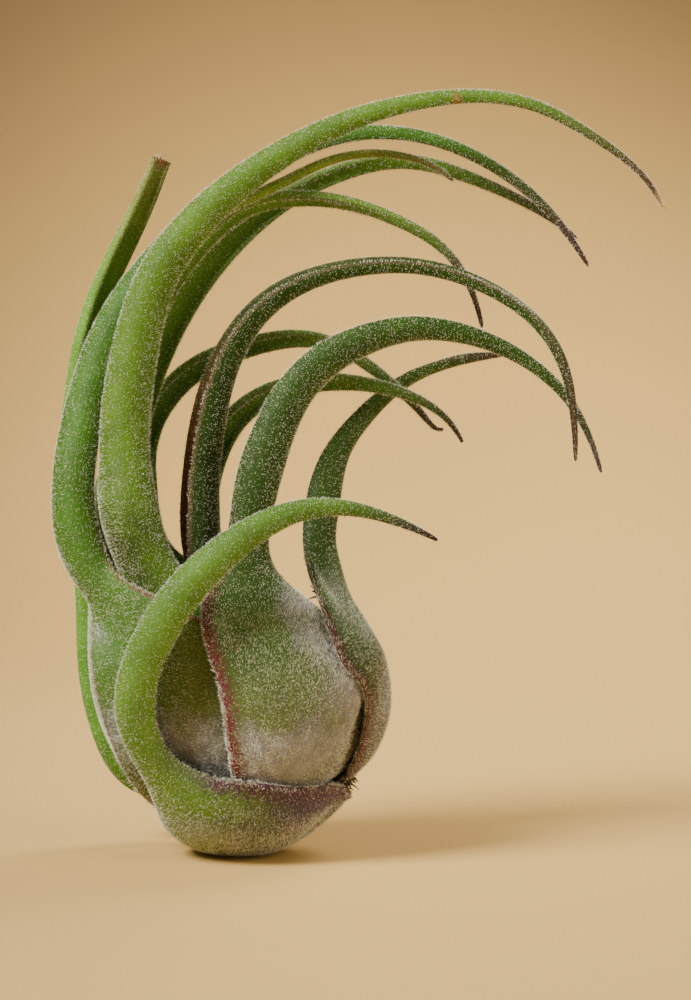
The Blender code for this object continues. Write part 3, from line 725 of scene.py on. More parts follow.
# The looks of each leaf. "along": its colours at the base of the sheath, the sheath,
# the neck, the blade, the far blade and the tip, which lie at ALONG_STOPS. "left" and
# "right": how wide in mm, in which colour and how strongly that margin of the sheath
# is coloured. "line": how strongly the thin brown line on the blade's margins shows.
# "channel": the colour of the channel's lower end and its strength. "coat": the share
# of the usual number of hairs. "wool": groups of a radius, a strength of hair, a share
# of grey skin, and places. "patches": a place, a radius, a colour and a strength.
# Places and radii are in mm.
LOOKS = {
    "leaf_heart": {
        "along": ("#4E6A1C", "#5A8420", "#60941E", "#6C9E24", "#76922A", "#6E6830"),
        "line": 0.15,
    },
    "leaf_inner": {
        "along": ("#4A5A20", "#547C1E", "#609422", "#689E28", "#60862A", "#382620"),
        "line": 0.3,
        "patches": (
            ((41.5, -2, 116), 5.5, "#4A3424", 0.85),
            ((46, -3, 106), 8.0, "#46302A", 0.9),
        ),
    },
    "leaf_centre": {
        "coat": 0.7,
        "along": ("#3A2A1E", "#2A3612", "#203A0A", "#22420C", "#2E5214", "#33231E"),
        "left": (1.3, "#6A5038", 0.8),
        "line": 0.6,
        "channel": ("#7A5436", 0.8),
    },
    "leaf_back_low": {
        "along": ("#6A6454", "#606848", "#4A761E", "#4F7E22", "#4F7626", "#34261F"),
        "line": 0.3,
        "wool": ((9.0, 0.6, 0.5, ((10.5, 2, 50), (6, -6, 52))),),
    },
    "leaf_back_curled": {
        "along": ("#6A6454", "#55702A", "#548420", "#5A8C26", "#5A7E2C", "#3A2C26"),
        "line": 0.3,
    },
    "leaf_long": {
        "along": ("#4A4C34", "#344614", "#426010", "#527814", "#588220", "#54382A"),
        "line": 0.15,
        "wool": (
            (7.0, 0.3, 0.0, ((-24, -16, 66), (-21.5, -19, 60), (-18.5, -20, 55), (-25, -13, 72))),
        ),
        "patches": (
            ((-25.5, -17, 61), 10.0, "#2C3C16", 0.75),
            ((40.2, -6, 148.2), 1.7, "#A0622C", 0.8),
            ((79.5, -11, 127.5), 3.5, "#B4915C", 0.9),
        ),
    },
    "leaf_left_back": {
        "along": ("#7A6C62", "#5F7A2E", "#5C8422", "#5C8A24", "#568424", "#44322A"),
        "left": (1.4, "#543040", 0.7),
        "right": (1.4, "#543040", 0.7),
        "line": 0.25,
    },
    "leaf_front_left": {
        "along": ("#5E5848", "#58662C", "#46701C", "#41701A", "#406E1A", "#44302C"),
        "right": (1.7, "#72302E", 0.9),
        "left": (1.5, "#8A7078", 0.5),
        "line": 0.3,
        "wool": (
            (3.0, 0.6, 0.25, ((-36.8, -8, 60), (-35.8, -9, 57.5), (-34.8, -10, 55), (-33.6, -11, 52.5),
                             (-32, -12, 50), (-30.4, -12.5, 47.5), (-28.6, -13, 45), (-26.6, -13.5, 42.5))),
            (10.0, 1.0, 0.85, ((-16, -19, 25), (-11, -20.5, 23), (-6, -21, 22), (-20, -16, 28))),
        ),
    },
    "leaf_front_right": {
        "along": ("#5E565A", "#5A6A36", "#315218", "#29470F", "#325614", "#40302C"),
        "left": (4.2, "#642434", 0.95),
        "right": (2.0, "#6A5A5A", 0.5),
        "line": 0.2,
        "wool": (
            (13.0, 0.55, 0.5, ((20, -17, 30), (10, -24, 20))),
            (8.0, 1.0, 0.9, ((10.3, -13, 49), (15, -17, 43.8), (19.5, -17, 38), (22.6, -16, 32),
                             (21.6, -17, 26), (17, -21.5, 23), (12, -24.5, 22.6), (7, -25.5, 23),
                             (2, -25, 24))),
        ),
        "patches": (
            # Painted light: two paler green patches brighten the neck's crease, where the blade above casts
            # shade
            ((-4, -19, 47), 6.5, "#627E38", 0.6),
            ((4, -19, 46.5), 6.5, "#627E38", 0.6),
            ((-2.4, -22.5, 43), 2.6, "#8A4A2A", 0.5),
            ((3, -23.5, 17), 8.5, "#5C505C", 0.65),
        ),
    },
    "leaf_right": {
        "coat": 0.6,
        "along": ("#504250", "#44482E", "#35501A", "#2C4A10", "#385818", "#3A2E28"),
        "left": (3.2, "#4E2230", 0.95),
        "right": (2.0, "#4E2A36", 0.7),
        "line": 0.4,
        "wool": ((9.0, 0.15, 0.2, ((27, -6, 34), (26, 6, 40))),),
        "patches": (
            ((13.0, -4, 52.6), 2.0, "#8A4028", 0.8),
            ((26, -8, 26), 11.0, "#6C6670", 0.6),
        ),
    },
    "leaf_cut_tip": {
        "along": ("#5A5646", "#4C5C34", "#40661E", "#4E8420", "#68A02C", "#7C8A34"),
        "left": (1.6, "#543040", 0.6),
        "right": (1.6, "#543040", 0.6),
        "line": 0.2,
        "patches": (
            ((-20.6, 6.5, 127.5), 1.8, "#543E22", 0.6),
            ((-17.3, 8, 136.6), 1.9, "#9A6C4C", 0.95),
        ),
    },
    "leaf_front_low": {
        "coat": 0.8,
        "along": ("#4A3C44", "#56663A", "#5A7E28", "#5A842A", "#4D7620", "#342426"),
        "right": (5.4, "#482A42", 0.95),
        "left": (1.4, "#8A5A30", 0.5),
        "line": 0.15,
        "wool": ((8.0, 0.5, 0.3, ((-8, -17, 8), (-2, -18, 5), (4, -16, 3), (10, -14, 5), (15, -12, 9))),),
        "patches": (
            ((-5.5, -26, 18.3), 2.1, "#A8642E", 0.8),
            ((14, -17, 12), 13.0, "#3E344C", 0.88),
            ((2, -20, 6), 10.0, "#46434E", 0.75),
        ),
    },
}
ALONG_STOPS = (0.06, 0.3, 0.46, 0.6, 0.9, 0.985)

# What holds for a leaf whose looks don't say otherwise
PLAIN_MARGIN = (1.0, "#5A3A34", 0.5)
PLAIN_CHANNEL = ("#2A3A0E", 0.15)

# The settings of a Mix node that lays one colour over another; its colours are inputs 6 and 7 and output 2
LAID_OVER = {"data_type": "RGBA", "blend_type": "MIX"}


def leaf_material(name):
    """Living leaf: a tough waxy skin over green flesh, finely veined, frosted with tiny pale scales.

    The wax gives a soft, wide shine, the flesh lets a little light through, and the scales dust it grey.
    """
    look = LOOKS[name]
    material, tree, shader = new_material(name + "_skin", {
        "Roughness": 0.6, "IOR": 1.42, "Specular IOR Level": 0.3,
        "Subsurface Weight": 0.1, "Subsurface Radius": (0.8, 1.0, 0.25), "Subsurface Scale": 1.0 * MM,
        "Sheen Weight": 0.08, "Sheen Roughness": 0.4, "Sheen Tint": linear("#F0F2E6"),
    })
    place = add_node(tree, "Attribute", attribute_name="leaf_place").outputs["Vector"]
    along, across, inside = add_node(tree, "SeparateXYZ", {"Vector": place}).outputs
    edge = add_node(tree, "Attribute", attribute_name="edge_mm").outputs["Fac"]
    spot = add_node(tree, "TexCoord").outputs["Object"]
    # Blotches of uneven green and cells, about 6 mm and 1 mm across; real cells are too fine to show
    blotch = add_node(tree, "TexNoise", {"Vector": spot, "Scale": 160.0, "Detail": 3.0, "Roughness": 0.6})
    grain = add_node(tree, "TexNoise", {"Vector": spot, "Scale": 1100.0, "Detail": 2.0})
    # Veins: about 20 fine lines over the width of the leaf
    warp = add_node(tree, "MapRange", {"Value": blotch, "To Min": -0.03, "To Max": 0.03})
    lane = add_node(tree, "Math", {0: across, 1: warp}, operation="ADD")
    turn = add_node(tree, "Math", {0: lane, 1: 62.0}, operation="MULTIPLY")
    vein = add_node(tree, "Math", {0: turn}, operation="SINE")
    # The green from base to tip, its borders wandering a little
    far = add_node(tree, "MapRange", {"Value": along, "From Min": -1.0, "From Max": 1.0})
    far = add_node(tree, "Math", {0: far, 1: warp}, operation="ADD")
    colour = add_node(tree, "ValToRGB", {"Fac": far}, stops=tuple(zip(ALONG_STOPS, look["along"])))
    # The channel is duller than the outside, most near the neck
    hexed, strength = look.get("channel", PLAIN_CHANNEL)
    fades = add_node(tree, "MapRange", {"Value": along, "From Min": 0.22, "From Max": 0.42,
                                        "To Min": strength, "To Max": PLAIN_CHANNEL[1]})
    share = add_node(tree, "Math", {0: inside, 1: fades}, operation="MULTIPLY")
    colour = add_node(tree, "Mix", {"Factor": share, 6: colour, 7: linear(hexed)}, **LAID_OVER).outputs[2]
    # Uneven green, and the lines of the veins
    tone = add_node(tree, "MapRange", {"Value": blotch, "From Min": 0.3, "From Max": 0.7,
                                       "To Min": 0.78, "To Max": 1.2})
    lines = add_node(tree, "MapRange", {"Value": vein, "From Min": -1.0, "To Min": 0.96, "To Max": 1.03})
    both = add_node(tree, "Math", {0: tone, 1: lines}, operation="MULTIPLY")
    colour = add_node(tree, "VectorMath", {0: colour, "Scale": both}, operation="SCALE").outputs[0]
    for spot_mm, radius, hexed, strength in look.get("patches", ()):
        colour = patch(tree, spot, colour, [spot_mm], radius, hexed, strength, blotch)
    for radius, _, grey, spots_mm in look.get("wool", ()):
        if grey:
            colour = patch(tree, spot, colour, spots_mm, radius, "#8A8892", grey, blotch)
    # Margins: maroon on the sheath, with a ragged border
    rough = add_node(tree, "Math", {0: grain, 1: 0.5}, operation="SUBTRACT")
    low = add_node(tree, "MapRange", {"Value": along, "From Min": 0.2, "From Max": -0.05})
    for side, hand in (("left", 1.0), ("right", -1.0)):
        width, hexed, strength = look.get(side, PLAIN_MARGIN)
        half = add_node(tree, "Math", {0: across, 1: hand}, operation="MULTIPLY")
        here = add_node(tree, "Math", {0: half, 1: 0.0}, operation="GREATER_THAN")
        ragged = add_node(tree, "Math", {0: rough, 1: 1.6 * width, 2: edge}, operation="MULTIPLY_ADD")
        near = add_node(tree, "MapRange", {"Value": ragged, "From Min": width, "From Max": 0.1 * width,
                                           "To Max": strength}, interpolation_type="SMOOTHSTEP")
        share = add_node(tree, "Math", {0: near, 1: here}, operation="MULTIPLY")
        share = add_node(tree, "Math", {0: share, 1: low}, operation="MULTIPLY")
        colour = add_node(tree, "Mix", {"Factor": share, 6: colour, 7: linear(hexed)}, **LAID_OVER).outputs[2]
    # And a thin brown line on the blade
    thin = add_node(tree, "MapRange", {"Value": edge, "From Min": 0.45, "From Max": 0.2,
                                       "To Max": look["line"]})
    colour = add_node(tree, "Mix", {"Factor": thin, 6: colour, 7: linear("#5C4433")}, **LAID_OVER).outputs[2]
    # Frost: the smallest scales, too small to model, about 0.6 mm apart
    scales = add_node(tree, "TexVoronoi", {"Vector": spot, "Scale": 1500.0, "Randomness": 1.0})
    dots = add_node(tree, "MapRange", {"Value": scales.outputs["Distance"], "From Min": 0.3,
                                       "From Max": 0.14, "To Max": 0.7})
    chance = add_node(tree, "SeparateColor", {"Color": scales.outputs["Color"]})
    share = add_node(tree, "Math", {0: dots, 1: chance}, operation="MULTIPLY")
    colour = add_node(tree, "Mix", {"Factor": share, 6: colour, 7: linear("#C6CC94")}, **LAID_OVER).outputs[2]
    tree.links.new(colour, shader.inputs["Base Color"])
    height = add_node(tree, "Math", {0: vein, 1: 0.15, 2: grain}, operation="MULTIPLY_ADD")
    bump = add_node(tree, "Bump", {"Height": height, "Strength": 0.3, "Distance": 0.12 * MM})
    tree.links.new(bump.outputs[0], shader.inputs["Normal"])
    return material


def patch(tree, spot, colour, places, radius, hexed, strength, rough):
    """A soft-edged, uneven patch of another colour round some places on the leaf."""
    gaps = [add_node(tree, "VectorMath", {0: spot, 1: tuple(set_down(place))}, operation="DISTANCE")
            for place in places]
    nearest = gaps[0].outputs["Value"]
    for gap in gaps[1:]:
        nearest = add_node(tree, "Math", {0: nearest, 1: gap.outputs["Value"]}, operation="MINIMUM")
    wobble = add_node(tree, "MapRange", {"Value": rough, "From Min": 0.25, "From Max": 0.75,
                                         "To Min": -0.4 * radius * MM, "To Max": 0.4 * radius * MM})
    uneven = add_node(tree, "Math", {0: nearest, 1: wobble}, operation="ADD")
    near = add_node(tree, "MapRange", {"Value": uneven, "From Min": radius * MM,
                                       "From Max": 0.15 * radius * MM, "To Max": strength},
                    interpolation_type="SMOOTHSTEP")
    return add_node(tree, "Mix", {"Factor": near, 6: colour, 7: linear(hexed)}, **LAID_OVER).outputs[2]


def hair_material(name, hexed, roughness):
    """Dry, air-filled leaf hairs: they scatter light and hardly shine. Each coat mixes three of these."""
    return new_material(name, {"Base Color": linear(hexed), "Roughness": roughness, "IOR": 1.4})[0]


def dead_tissue(name, dark, light):
    """Dead, dry leaf and stem tissue: matt, fibrous, with cracks about 1.5 mm apart."""
    material, tree, shader = new_material(name, {"Roughness": 0.85})
    spot = add_node(tree, "TexCoord").outputs["Object"]
    cracks = add_node(tree, "TexNoise", {"Vector": spot, "Scale": 700.0, "Detail": 5.0, "Roughness": 0.7})
    ramp = add_node(tree, "ValToRGB", {"Fac": cracks}, stops=((0.35, dark), (0.7, light)))
    tree.links.new(ramp.outputs["Color"], shader.inputs["Base Color"])
    bump = add_node(tree, "Bump", {"Height": cracks, "Strength": 0.8, "Distance": 0.3 * MM})
    tree.links.new(bump.outputs[0], shader.inputs["Normal"])
    return material


def places_on(leaf, count, spots):
    """Where each point of each ring lies on the leaf.

    From base to neck to tip (-1, 0, 1), from the right to the left margin (-1 to 1), and outside (0) or
    channel side (1).
    """
    rows = [tuple(beside_stem(*leaf["root"]))] + [row[:3] for row in leaf["sheath"]]
    length = total_length(rows + [row[:3] for row in leaf["blade"]])
    sheath = total_length(rows) if leaf["sheath"] else 0.0
    joint = sheath or 0.25 * length
    at = stations_of(sheath, length)
    share = np.where(at < joint, at / joint - 1.0, (at - joint) / (length - joint))
    places = np.zeros((count, 2 * len(spots), 3))
    places[..., 0] = share[:, None]
    places[..., 1] = np.concatenate([spots, spots[::-1]])[None, :]
    places[:, len(spots) :, 2] = 1.0
    return places


def edge_gaps(rings):
    """How far each point lies from the nearer margin in mm, measured over the outside."""
    half = rings.shape[1] // 2
    steps = np.linalg.norm(np.diff(rings[:, :half], axis=1), axis=2)
    run = np.concatenate([np.zeros((len(rings), 1)), np.cumsum(steps, axis=1)], axis=1)
    gaps = np.minimum(run, run[:, -1:] - run)
    return np.concatenate([gaps, gaps[:, ::-1]], axis=1)


def fine_skin(piece):
    """Points, normals, triangles, leaf places and margin gaps of the rounded piece."""
    graph = bpy.context.evaluated_depsgraph_get()
    mesh = piece.evaluated_get(graph).to_mesh()
    mesh.calc_loop_triangles()
    count = len(mesh.vertices)
    points = np.empty(count * 3)
    mesh.vertices.foreach_get("co", points)
    normals = np.empty(count * 3)
    mesh.vertices.foreach_get("normal", normals)
    corners = np.empty(len(mesh.loop_triangles) * 3, np.int32)
    mesh.loop_triangles.foreach_get("vertices", corners)
    places = np.empty(count * 3)
    mesh.attributes["leaf_place"].data.foreach_get("vector", places)
    edges = np.empty(count)
    mesh.attributes["edge_mm"].data.foreach_get("value", edges)
    piece.evaluated_get(graph).to_mesh_clear()
    return (*(values.reshape(-1, 3) for values in (points, normals, corners, places)), edges)


def waves(points, seed):
    """A smooth wandering field from -1 to 1, in swells about 2.5 mm wide."""
    rng = np.random.default_rng(seed)
    total = np.zeros(len(points))
    for _ in range(5):
        way = rng.normal(size=3)
        way *= rng.uniform(1.6, 3.4) / np.linalg.norm(way)
        total += np.sin(points @ way + rng.uniform(0.0, 6.3))
    return total / 5.0


# The hairs, fewer and thicker than real ones, so that they show. On the blade, and
# what is added on the sheath, in wool, along the sheath's margins and along every
# margin: how many stand on a square mm, and their length in mm
HAIRS_ON_MM2 = (6.0, 4.5, 12.0, 4.0, 2.0)
HAIR_MM = (0.36, 0.1, 0.45, 0.3, 0.15)
# Their length at random, as a share of that, and their thickness at the root in mm
HAIR_RANGE = (0.6, 1.3)
HAIR_THICK = (0.1, 0.15)
# How deep they sit in the skin, and how much room a hair needs in front of it, in mm
HAIR_DEPTH = 0.04
HAIR_ROOM = 0.6
# Their colours with the roughness, and the share of each
HAIR_LOOKS = {"white": ("#FFFFF2", 0.5), "silver": ("#CFD2B0", 0.6), "straw": ("#B9B07C", 0.7)}
HAIR_MIX = (0.68, 0.26, 0.06)
# The most hairs in one piece: with 4 triangles each, it stays under 200,000
MOST_HAIRS = 48000


def hair_growth(look, points, places, edges):
    """How many hairs a square mm has at these points, their length in mm, and how woolly it is there."""
    far, across, inside = places.T
    sheath = np.clip((0.1 - far) / 0.3, 0.0, 1.0)
    rim = np.clip((1.1 - edges) / 0.8, 0.0, 1.0)
    wool = np.zeros(len(points))
    for radius, strength, _, spots in look.get("wool", ()):
        gaps = [np.linalg.norm(points - set_down(spot) / MM, axis=1) for spot in spots]
        wool = np.maximum(wool, strength * ease((radius - np.min(gaps, axis=0)) / (0.9 * radius)))
    wool = wool * np.clip(0.75 + 0.5 * waves(points, 3), 0.3, 1.3)
    shares = (1.0, sheath, wool, rim * sheath, rim)
    density = sum(count * share for count, share in zip(HAIRS_ON_MM2, shares))
    # Fewer in the channel, and few on the maroon margins behind their rims
    density *= look.get("coat", 1.0) * (1.0 - 0.3 * inside * (1.0 - rim))
    for side, hand in (("left", 1.0), ("right", -1.0)):
        width = look.get(side, PLAIN_MARGIN)[0]
        bare = (across * hand > 0.0) * sheath * (1.0 - rim) * ease((1.3 * width - edges) / (0.6 * width))
        density *= 1.0 - 0.7 * bare
    length = sum(mm * share for mm, share in zip(HAIR_MM, shares))
    return density, length, np.clip(0.25 * sheath + wool + 0.4 * rim * sheath, 0.0, 1.0)


def hair_shape():
    """One hair: a slim three-sided spike, 1 long and 1 thick at its root."""
    work = bmesh.new()
    bmesh.ops.create_cone(work, cap_ends=True, segments=3, radius1=0.5, radius2=0.0, depth=1.0)
    bmesh.ops.remove_doubles(work, verts=work.verts, dist=1e-4)
    bmesh.ops.recalc_face_normals(work, faces=work.faces)
    work.verts.index_update()
    points = np.array([v.co for v in work.verts])
    points[:, 2] += 0.5
    faces = [[v.index for v in face.verts] for face in work.faces]
    work.free()
    return points, np.array(faces)


def add_hairs(name, leaf, skin, tree, materials, seed):
    """Short hairs all over a leaf, leaning towards its tip, none where another leaf lies on it."""
    rng = np.random.default_rng(seed)
    points, normals, corners, places, edges = skin
    look = LOOKS[leaf]
    a, b, c = (points[corners[:, k]] for k in range(3))
    area = 0.5 * np.linalg.norm(np.cross(b - a, c - a), axis=1) / MM**2
    middle = points[corners].mean(axis=1) / MM
    density, _, _ = hair_growth(look, middle, places[corners].mean(axis=1), edges[corners].mean(axis=1))
    chosen = np.repeat(np.arange(len(corners)), rng.poisson(area * density))
    weights = rng.dirichlet((1.0, 1.0, 1.0), len(chosen))

    def spread(values):
        return np.einsum("nk,nk...->n...", weights, values[corners[chosen]])

    root, normal, place, edge = (spread(values) for values in (points, normals, places, edges))
    normal /= np.linalg.norm(normal, axis=1)[:, None]
    start = root + 0.03 * MM * normal
    room = HAIR_ROOM * MM
    free = np.array([tree.ray_cast(Vector(p), Vector(n), room)[0] is None for p, n in zip(start, normal)])
    chosen, root, normal, place, edge = (values[free] for values in (chosen, root, normal, place, edge))
    _, length, wool = hair_growth(look, root / MM, place, edge)
    length = length * rng.uniform(*HAIR_RANGE, len(root)) * MM
    # Each leans towards the tip, in wool more and in swirls, and never flat on the skin
    tip = tip_ways(points, corners, places)[chosen]
    swirl = np.stack([waves(root / MM, k) for k in (11, 12, 13)], axis=1)
    lean = (0.1 + 0.9 * wool)[:, None] * tip + (1.2 * wool)[:, None] * swirl
    lean += 0.15 * rng.normal(size=root.shape)
    way = (1.0 - 0.45 * wool)[:, None] * normal + lean
    way -= 0.8 * normal * np.einsum("nc,nc->n", lean, normal)[:, None]
    way /= np.linalg.norm(way, axis=1)[:, None]
    one = np.cross(way, rng.normal(size=root.shape))
    one /= np.linalg.norm(one, axis=1)[:, None]
    other = np.cross(way, one)
    thick = rng.uniform(*HAIR_THICK, len(root)) * (1.0 - 0.4 * wool) * MM
    shape, faces = hair_shape()
    sides = one[:, None] * shape[None, :, :1] + other[:, None] * shape[None, :, 1:2]
    made = root[:, None] + thick[:, None, None] * sides
    rise = way[:, None] * (length[:, None] * shape[None, :, 2])[..., None]
    made += rise - HAIR_DEPTH * MM * normal[:, None]
    # None grow where the plant rests on its hairs
    made = made[made[..., 2].min(axis=1) > 0.0]
    tint = rng.choice(len(materials), len(made), p=HAIR_MIX)
    for part, first in enumerate(range(0, len(made), MOST_HAIRS), 1):
        here = slice(first, first + MOST_HAIRS)
        hair_piece(f"{name}_{part}", made[here], faces, tint[here], materials)


def hair_piece(name, made, faces, tint, materials):
    """Some of a leaf's hairs as one piece, from their points, the faces of one hair and the tint of each.

    They are copies of the one hair that an operator made. Tens of thousands are too many for operators.
    """
    steps = np.arange(len(made))[:, None, None] * made.shape[1]
    all_faces = (faces[None] + steps).reshape(-1, 3)
    mesh = bpy.data.meshes.new(name)
    mesh.vertices.add(made.shape[0] * made.shape[1])
    mesh.vertices.foreach_set("co", made.ravel())
    mesh.loops.add(all_faces.size)
    mesh.loops.foreach_set("vertex_index", all_faces.ravel())
    mesh.polygons.add(len(all_faces))
    mesh.polygons.foreach_set("loop_start", np.arange(len(all_faces)) * 3)
    mesh.update(calc_edges=True)
    for material in materials:
        mesh.materials.append(material)
    mesh.polygons.foreach_set("material_index", np.repeat(tint, len(faces)))
    piece = bpy.data.objects.new(name, mesh)
    bpy.context.scene.collection.objects.link(piece)
    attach(piece, "root")


def tip_ways(points, corners, places):
    """Unit ways along the skin towards the tip, one for each triangle: its slope of leaf places."""
    a, b, c = (points[corners[:, k]] for k in range(3))
    one, other = b - a, c - a
    far = places[:, 0][corners]
    rise_one = far[:, 1] - far[:, 0]
    rise_other = far[:, 2] - far[:, 0]
    across = np.cross(one, other)
    size = np.maximum((across**2).sum(axis=1), 1e-24)[:, None]
    slope = (rise_one[:, None] * np.cross(other, across) + rise_other[:, None] * np.cross(across, one)) / size
    return slope / np.maximum(np.linalg.norm(slope, axis=1), 1e-12)[:, None]


def build_leaves():
    """The fine leaves in the order in which they lie on each other."""
    stem_points, stem_faces = stem_shape()
    trees = [tree_of(stem_points, stem_faces)]
    pieces = {}
    for name, leaf in LEAVES.items():
        rings = leaf_rings(leaf, trees)
        trees.append(tree_of(rings.reshape(-1, 3), rings_to_faces(rings)))
        spots = np.linspace(-1.0, 1.0, leaf.get("across", ACROSS))
        work = loft(set_down(rings), places_on(leaf, len(rings), spots), edge_gaps(rings))
        pieces[name] = rounded(piece_from(work, name + "_skin", leaf_material(name), name))
    return pieces


def build_hairs(pieces):
    """The coat of hairs of each leaf."""
    materials = [hair_material(f"leaf_hairs_{name}", *look) for name, look in HAIR_LOOKS.items()]
    skins = {name: fine_skin(piece) for name, piece in pieces.items()}
    starts = np.cumsum([0] + [len(skin[0]) for skin in skins.values()])
    points = np.concatenate([skin[0] for skin in skins.values()])
    faces = np.concatenate([skin[2] + start for skin, start in zip(skins.values(), starts)])
    tree = BVHTree.FromPolygons(points.tolist(), faces.tolist())
    for seed, (name, skin) in enumerate(skins.items()):
        add_hairs(name + "_hairs", name, skin, tree, materials, seed)


def build_stem():
    """The stem as bark, a little rougher than its solid."""
    around = 28
    reaches = np.linspace(STEM_INNER + 0.3, STEM_OUTER, 26)
    bends = (STEM_INNER, STEM_INNER + 3.0, STEM_OUTER - 2.0, STEM_OUTER)
    rings = np.zeros((len(reaches), around, 3))
    for i, reach in enumerate(reaches):
        radius = np.interp(reach, bends, (2.0, 3.0, 2.9, 2.4))
        for k in range(around):
            angle = 2.0 * math.pi * k / around
            rough = 1.0 - 0.05 * math.sin(9.0 * angle + 1.7 * math.sin(0.9 * reach))
            rough -= 0.04 * math.sin(4.0 * angle)
            out = math.cos(angle) * STEM_FRONT + math.sin(angle) * STEM_SIDE
            broken = 0.0
            if reach == reaches[-1]:
                broken = 0.7 * math.sin(3.0 * angle) + 0.4 * math.sin(7.0 * angle + 1.0)
            rings[i, k] = BULB_CENTRE + (reach + broken) * STEM_WAY + radius * rough * out
    bark = dead_tissue("dry_stem_bark", "#2A1A10", "#7A5636")
    return rounded(piece_from(loft(set_down(rings)), "stem_bark", bark, "stem"), 1)


# Torn and withered shreds: name, slot, kind, places, way, spread, count, length and half the width in mm
SHREDS = (
    ("stem_shreds", "stem", "bark", ((21.5, 5, 13.5), (20, 3, 12.5), (21, 6, 15), (19.5, 1, 14)),
     (0.8, 0.1, -0.5), 0.3, 30, 1.7, 0.4),
    ("base_shreds", "leaf_front_low", "bark", ((20.5, -2.5, 16.5), (22, -1, 15), (19, -5, 17)),
     (0.5, -0.5, 0.5), 0.4, 14, 1.5, 0.35),
    ("withered_corner", "leaf_right", "dark", ((12.4, -6, 50.2), (12.9, -6.5, 49.2)),
     (-0.75, -0.2, 0.45), 0.2, 9, 1.9, 0.8),
    ("torn_end", "leaf_cut_tip", "pale", ((-17.6, 8, 137.6), (-16.6, 7, 137.4), (-16.2, 8.5, 137)),
     (0.35, -0.1, 0.9), 0.45, 14, 0.9, 0.4),
    ("curled_end", "leaf_long", "pale", ((79.6, -11, 127.6),), (0.15, 0.0, -1.0), 0.1, 2, 2.4, 0.22),
)


def shred_rings(way, bend, length, radius):
    """A flat, bent shred that starts at 0 and runs out to a point: (rings, points, 3) in mm."""
    flat = unit(np.cross(way, bend))
    rings = np.zeros((6, 6, 3))
    for i, share in enumerate(np.linspace(0.0, 1.0, 6)):
        centre = length * (share * way + 0.5 * share**2 * bend)
        thick = unit(np.cross(way + share * bend, flat))
        size = radius * (1.0 - 0.85 * share)
        for k in range(6):
            angle = 2.0 * math.pi * k / 6
            rings[i, k] = centre + size * (math.cos(angle) * flat + 0.4 * math.sin(angle) * thick)
    return rings


def build_shreds(hosts):
    """Torn, dead tissue where the plant was picked and where leaves were torn."""
    materials = {
        "bark": dead_tissue("torn_stem_fibre", "#241A12", "#73563A"),
        "dark": dead_tissue("withered_margin", "#2A1C14", "#6E5238"),
        "pale": dead_tissue("papery_tip", "#A87C5C", "#E6CDA8"),
    }
    graph = bpy.context.evaluated_depsgraph_get()
    for seed, (name, slot, kind, places, way, spread, count, length, radius) in enumerate(SHREDS):
        rng = np.random.default_rng(100 + seed)
        host = hosts[slot].evaluated_get(graph)
        joined = bmesh.new()
        for _ in range(count):
            near = np.array(places[rng.integers(len(places))]) + rng.normal(scale=0.6, size=3)
            _, start, normal, _ = host.closest_point_on_mesh(Vector(set_down(near)))
            out = unit(unit(np.array(way, float)) + spread * rng.normal(size=3) + 0.4 * np.array(normal))
            bend = 0.7 * rng.normal(size=3)
            rings = shred_rings(out, bend, length * rng.uniform(0.6, 1.3), radius) * MM
            # Rooted 0.2 mm deep in its host
            one = loft(rings + np.array(start) - 0.2 * MM * np.array(normal))
            part = bpy.data.meshes.new("shred")
            one.to_mesh(part)
            one.free()
            joined.from_mesh(part)
            bpy.data.meshes.remove(part)
        piece_from(joined, name, materials[kind])


# The stage in metres: half its width, where the floor starts and where it bends up, how
# widely it bends, and how high the backdrop stands above the bend
STAGE_HALF = 2.0
STAGE_FRONT = -1.2
STAGE_BEND = 0.4
STAGE_RADIUS = 0.8
STAGE_WALL = 1.6


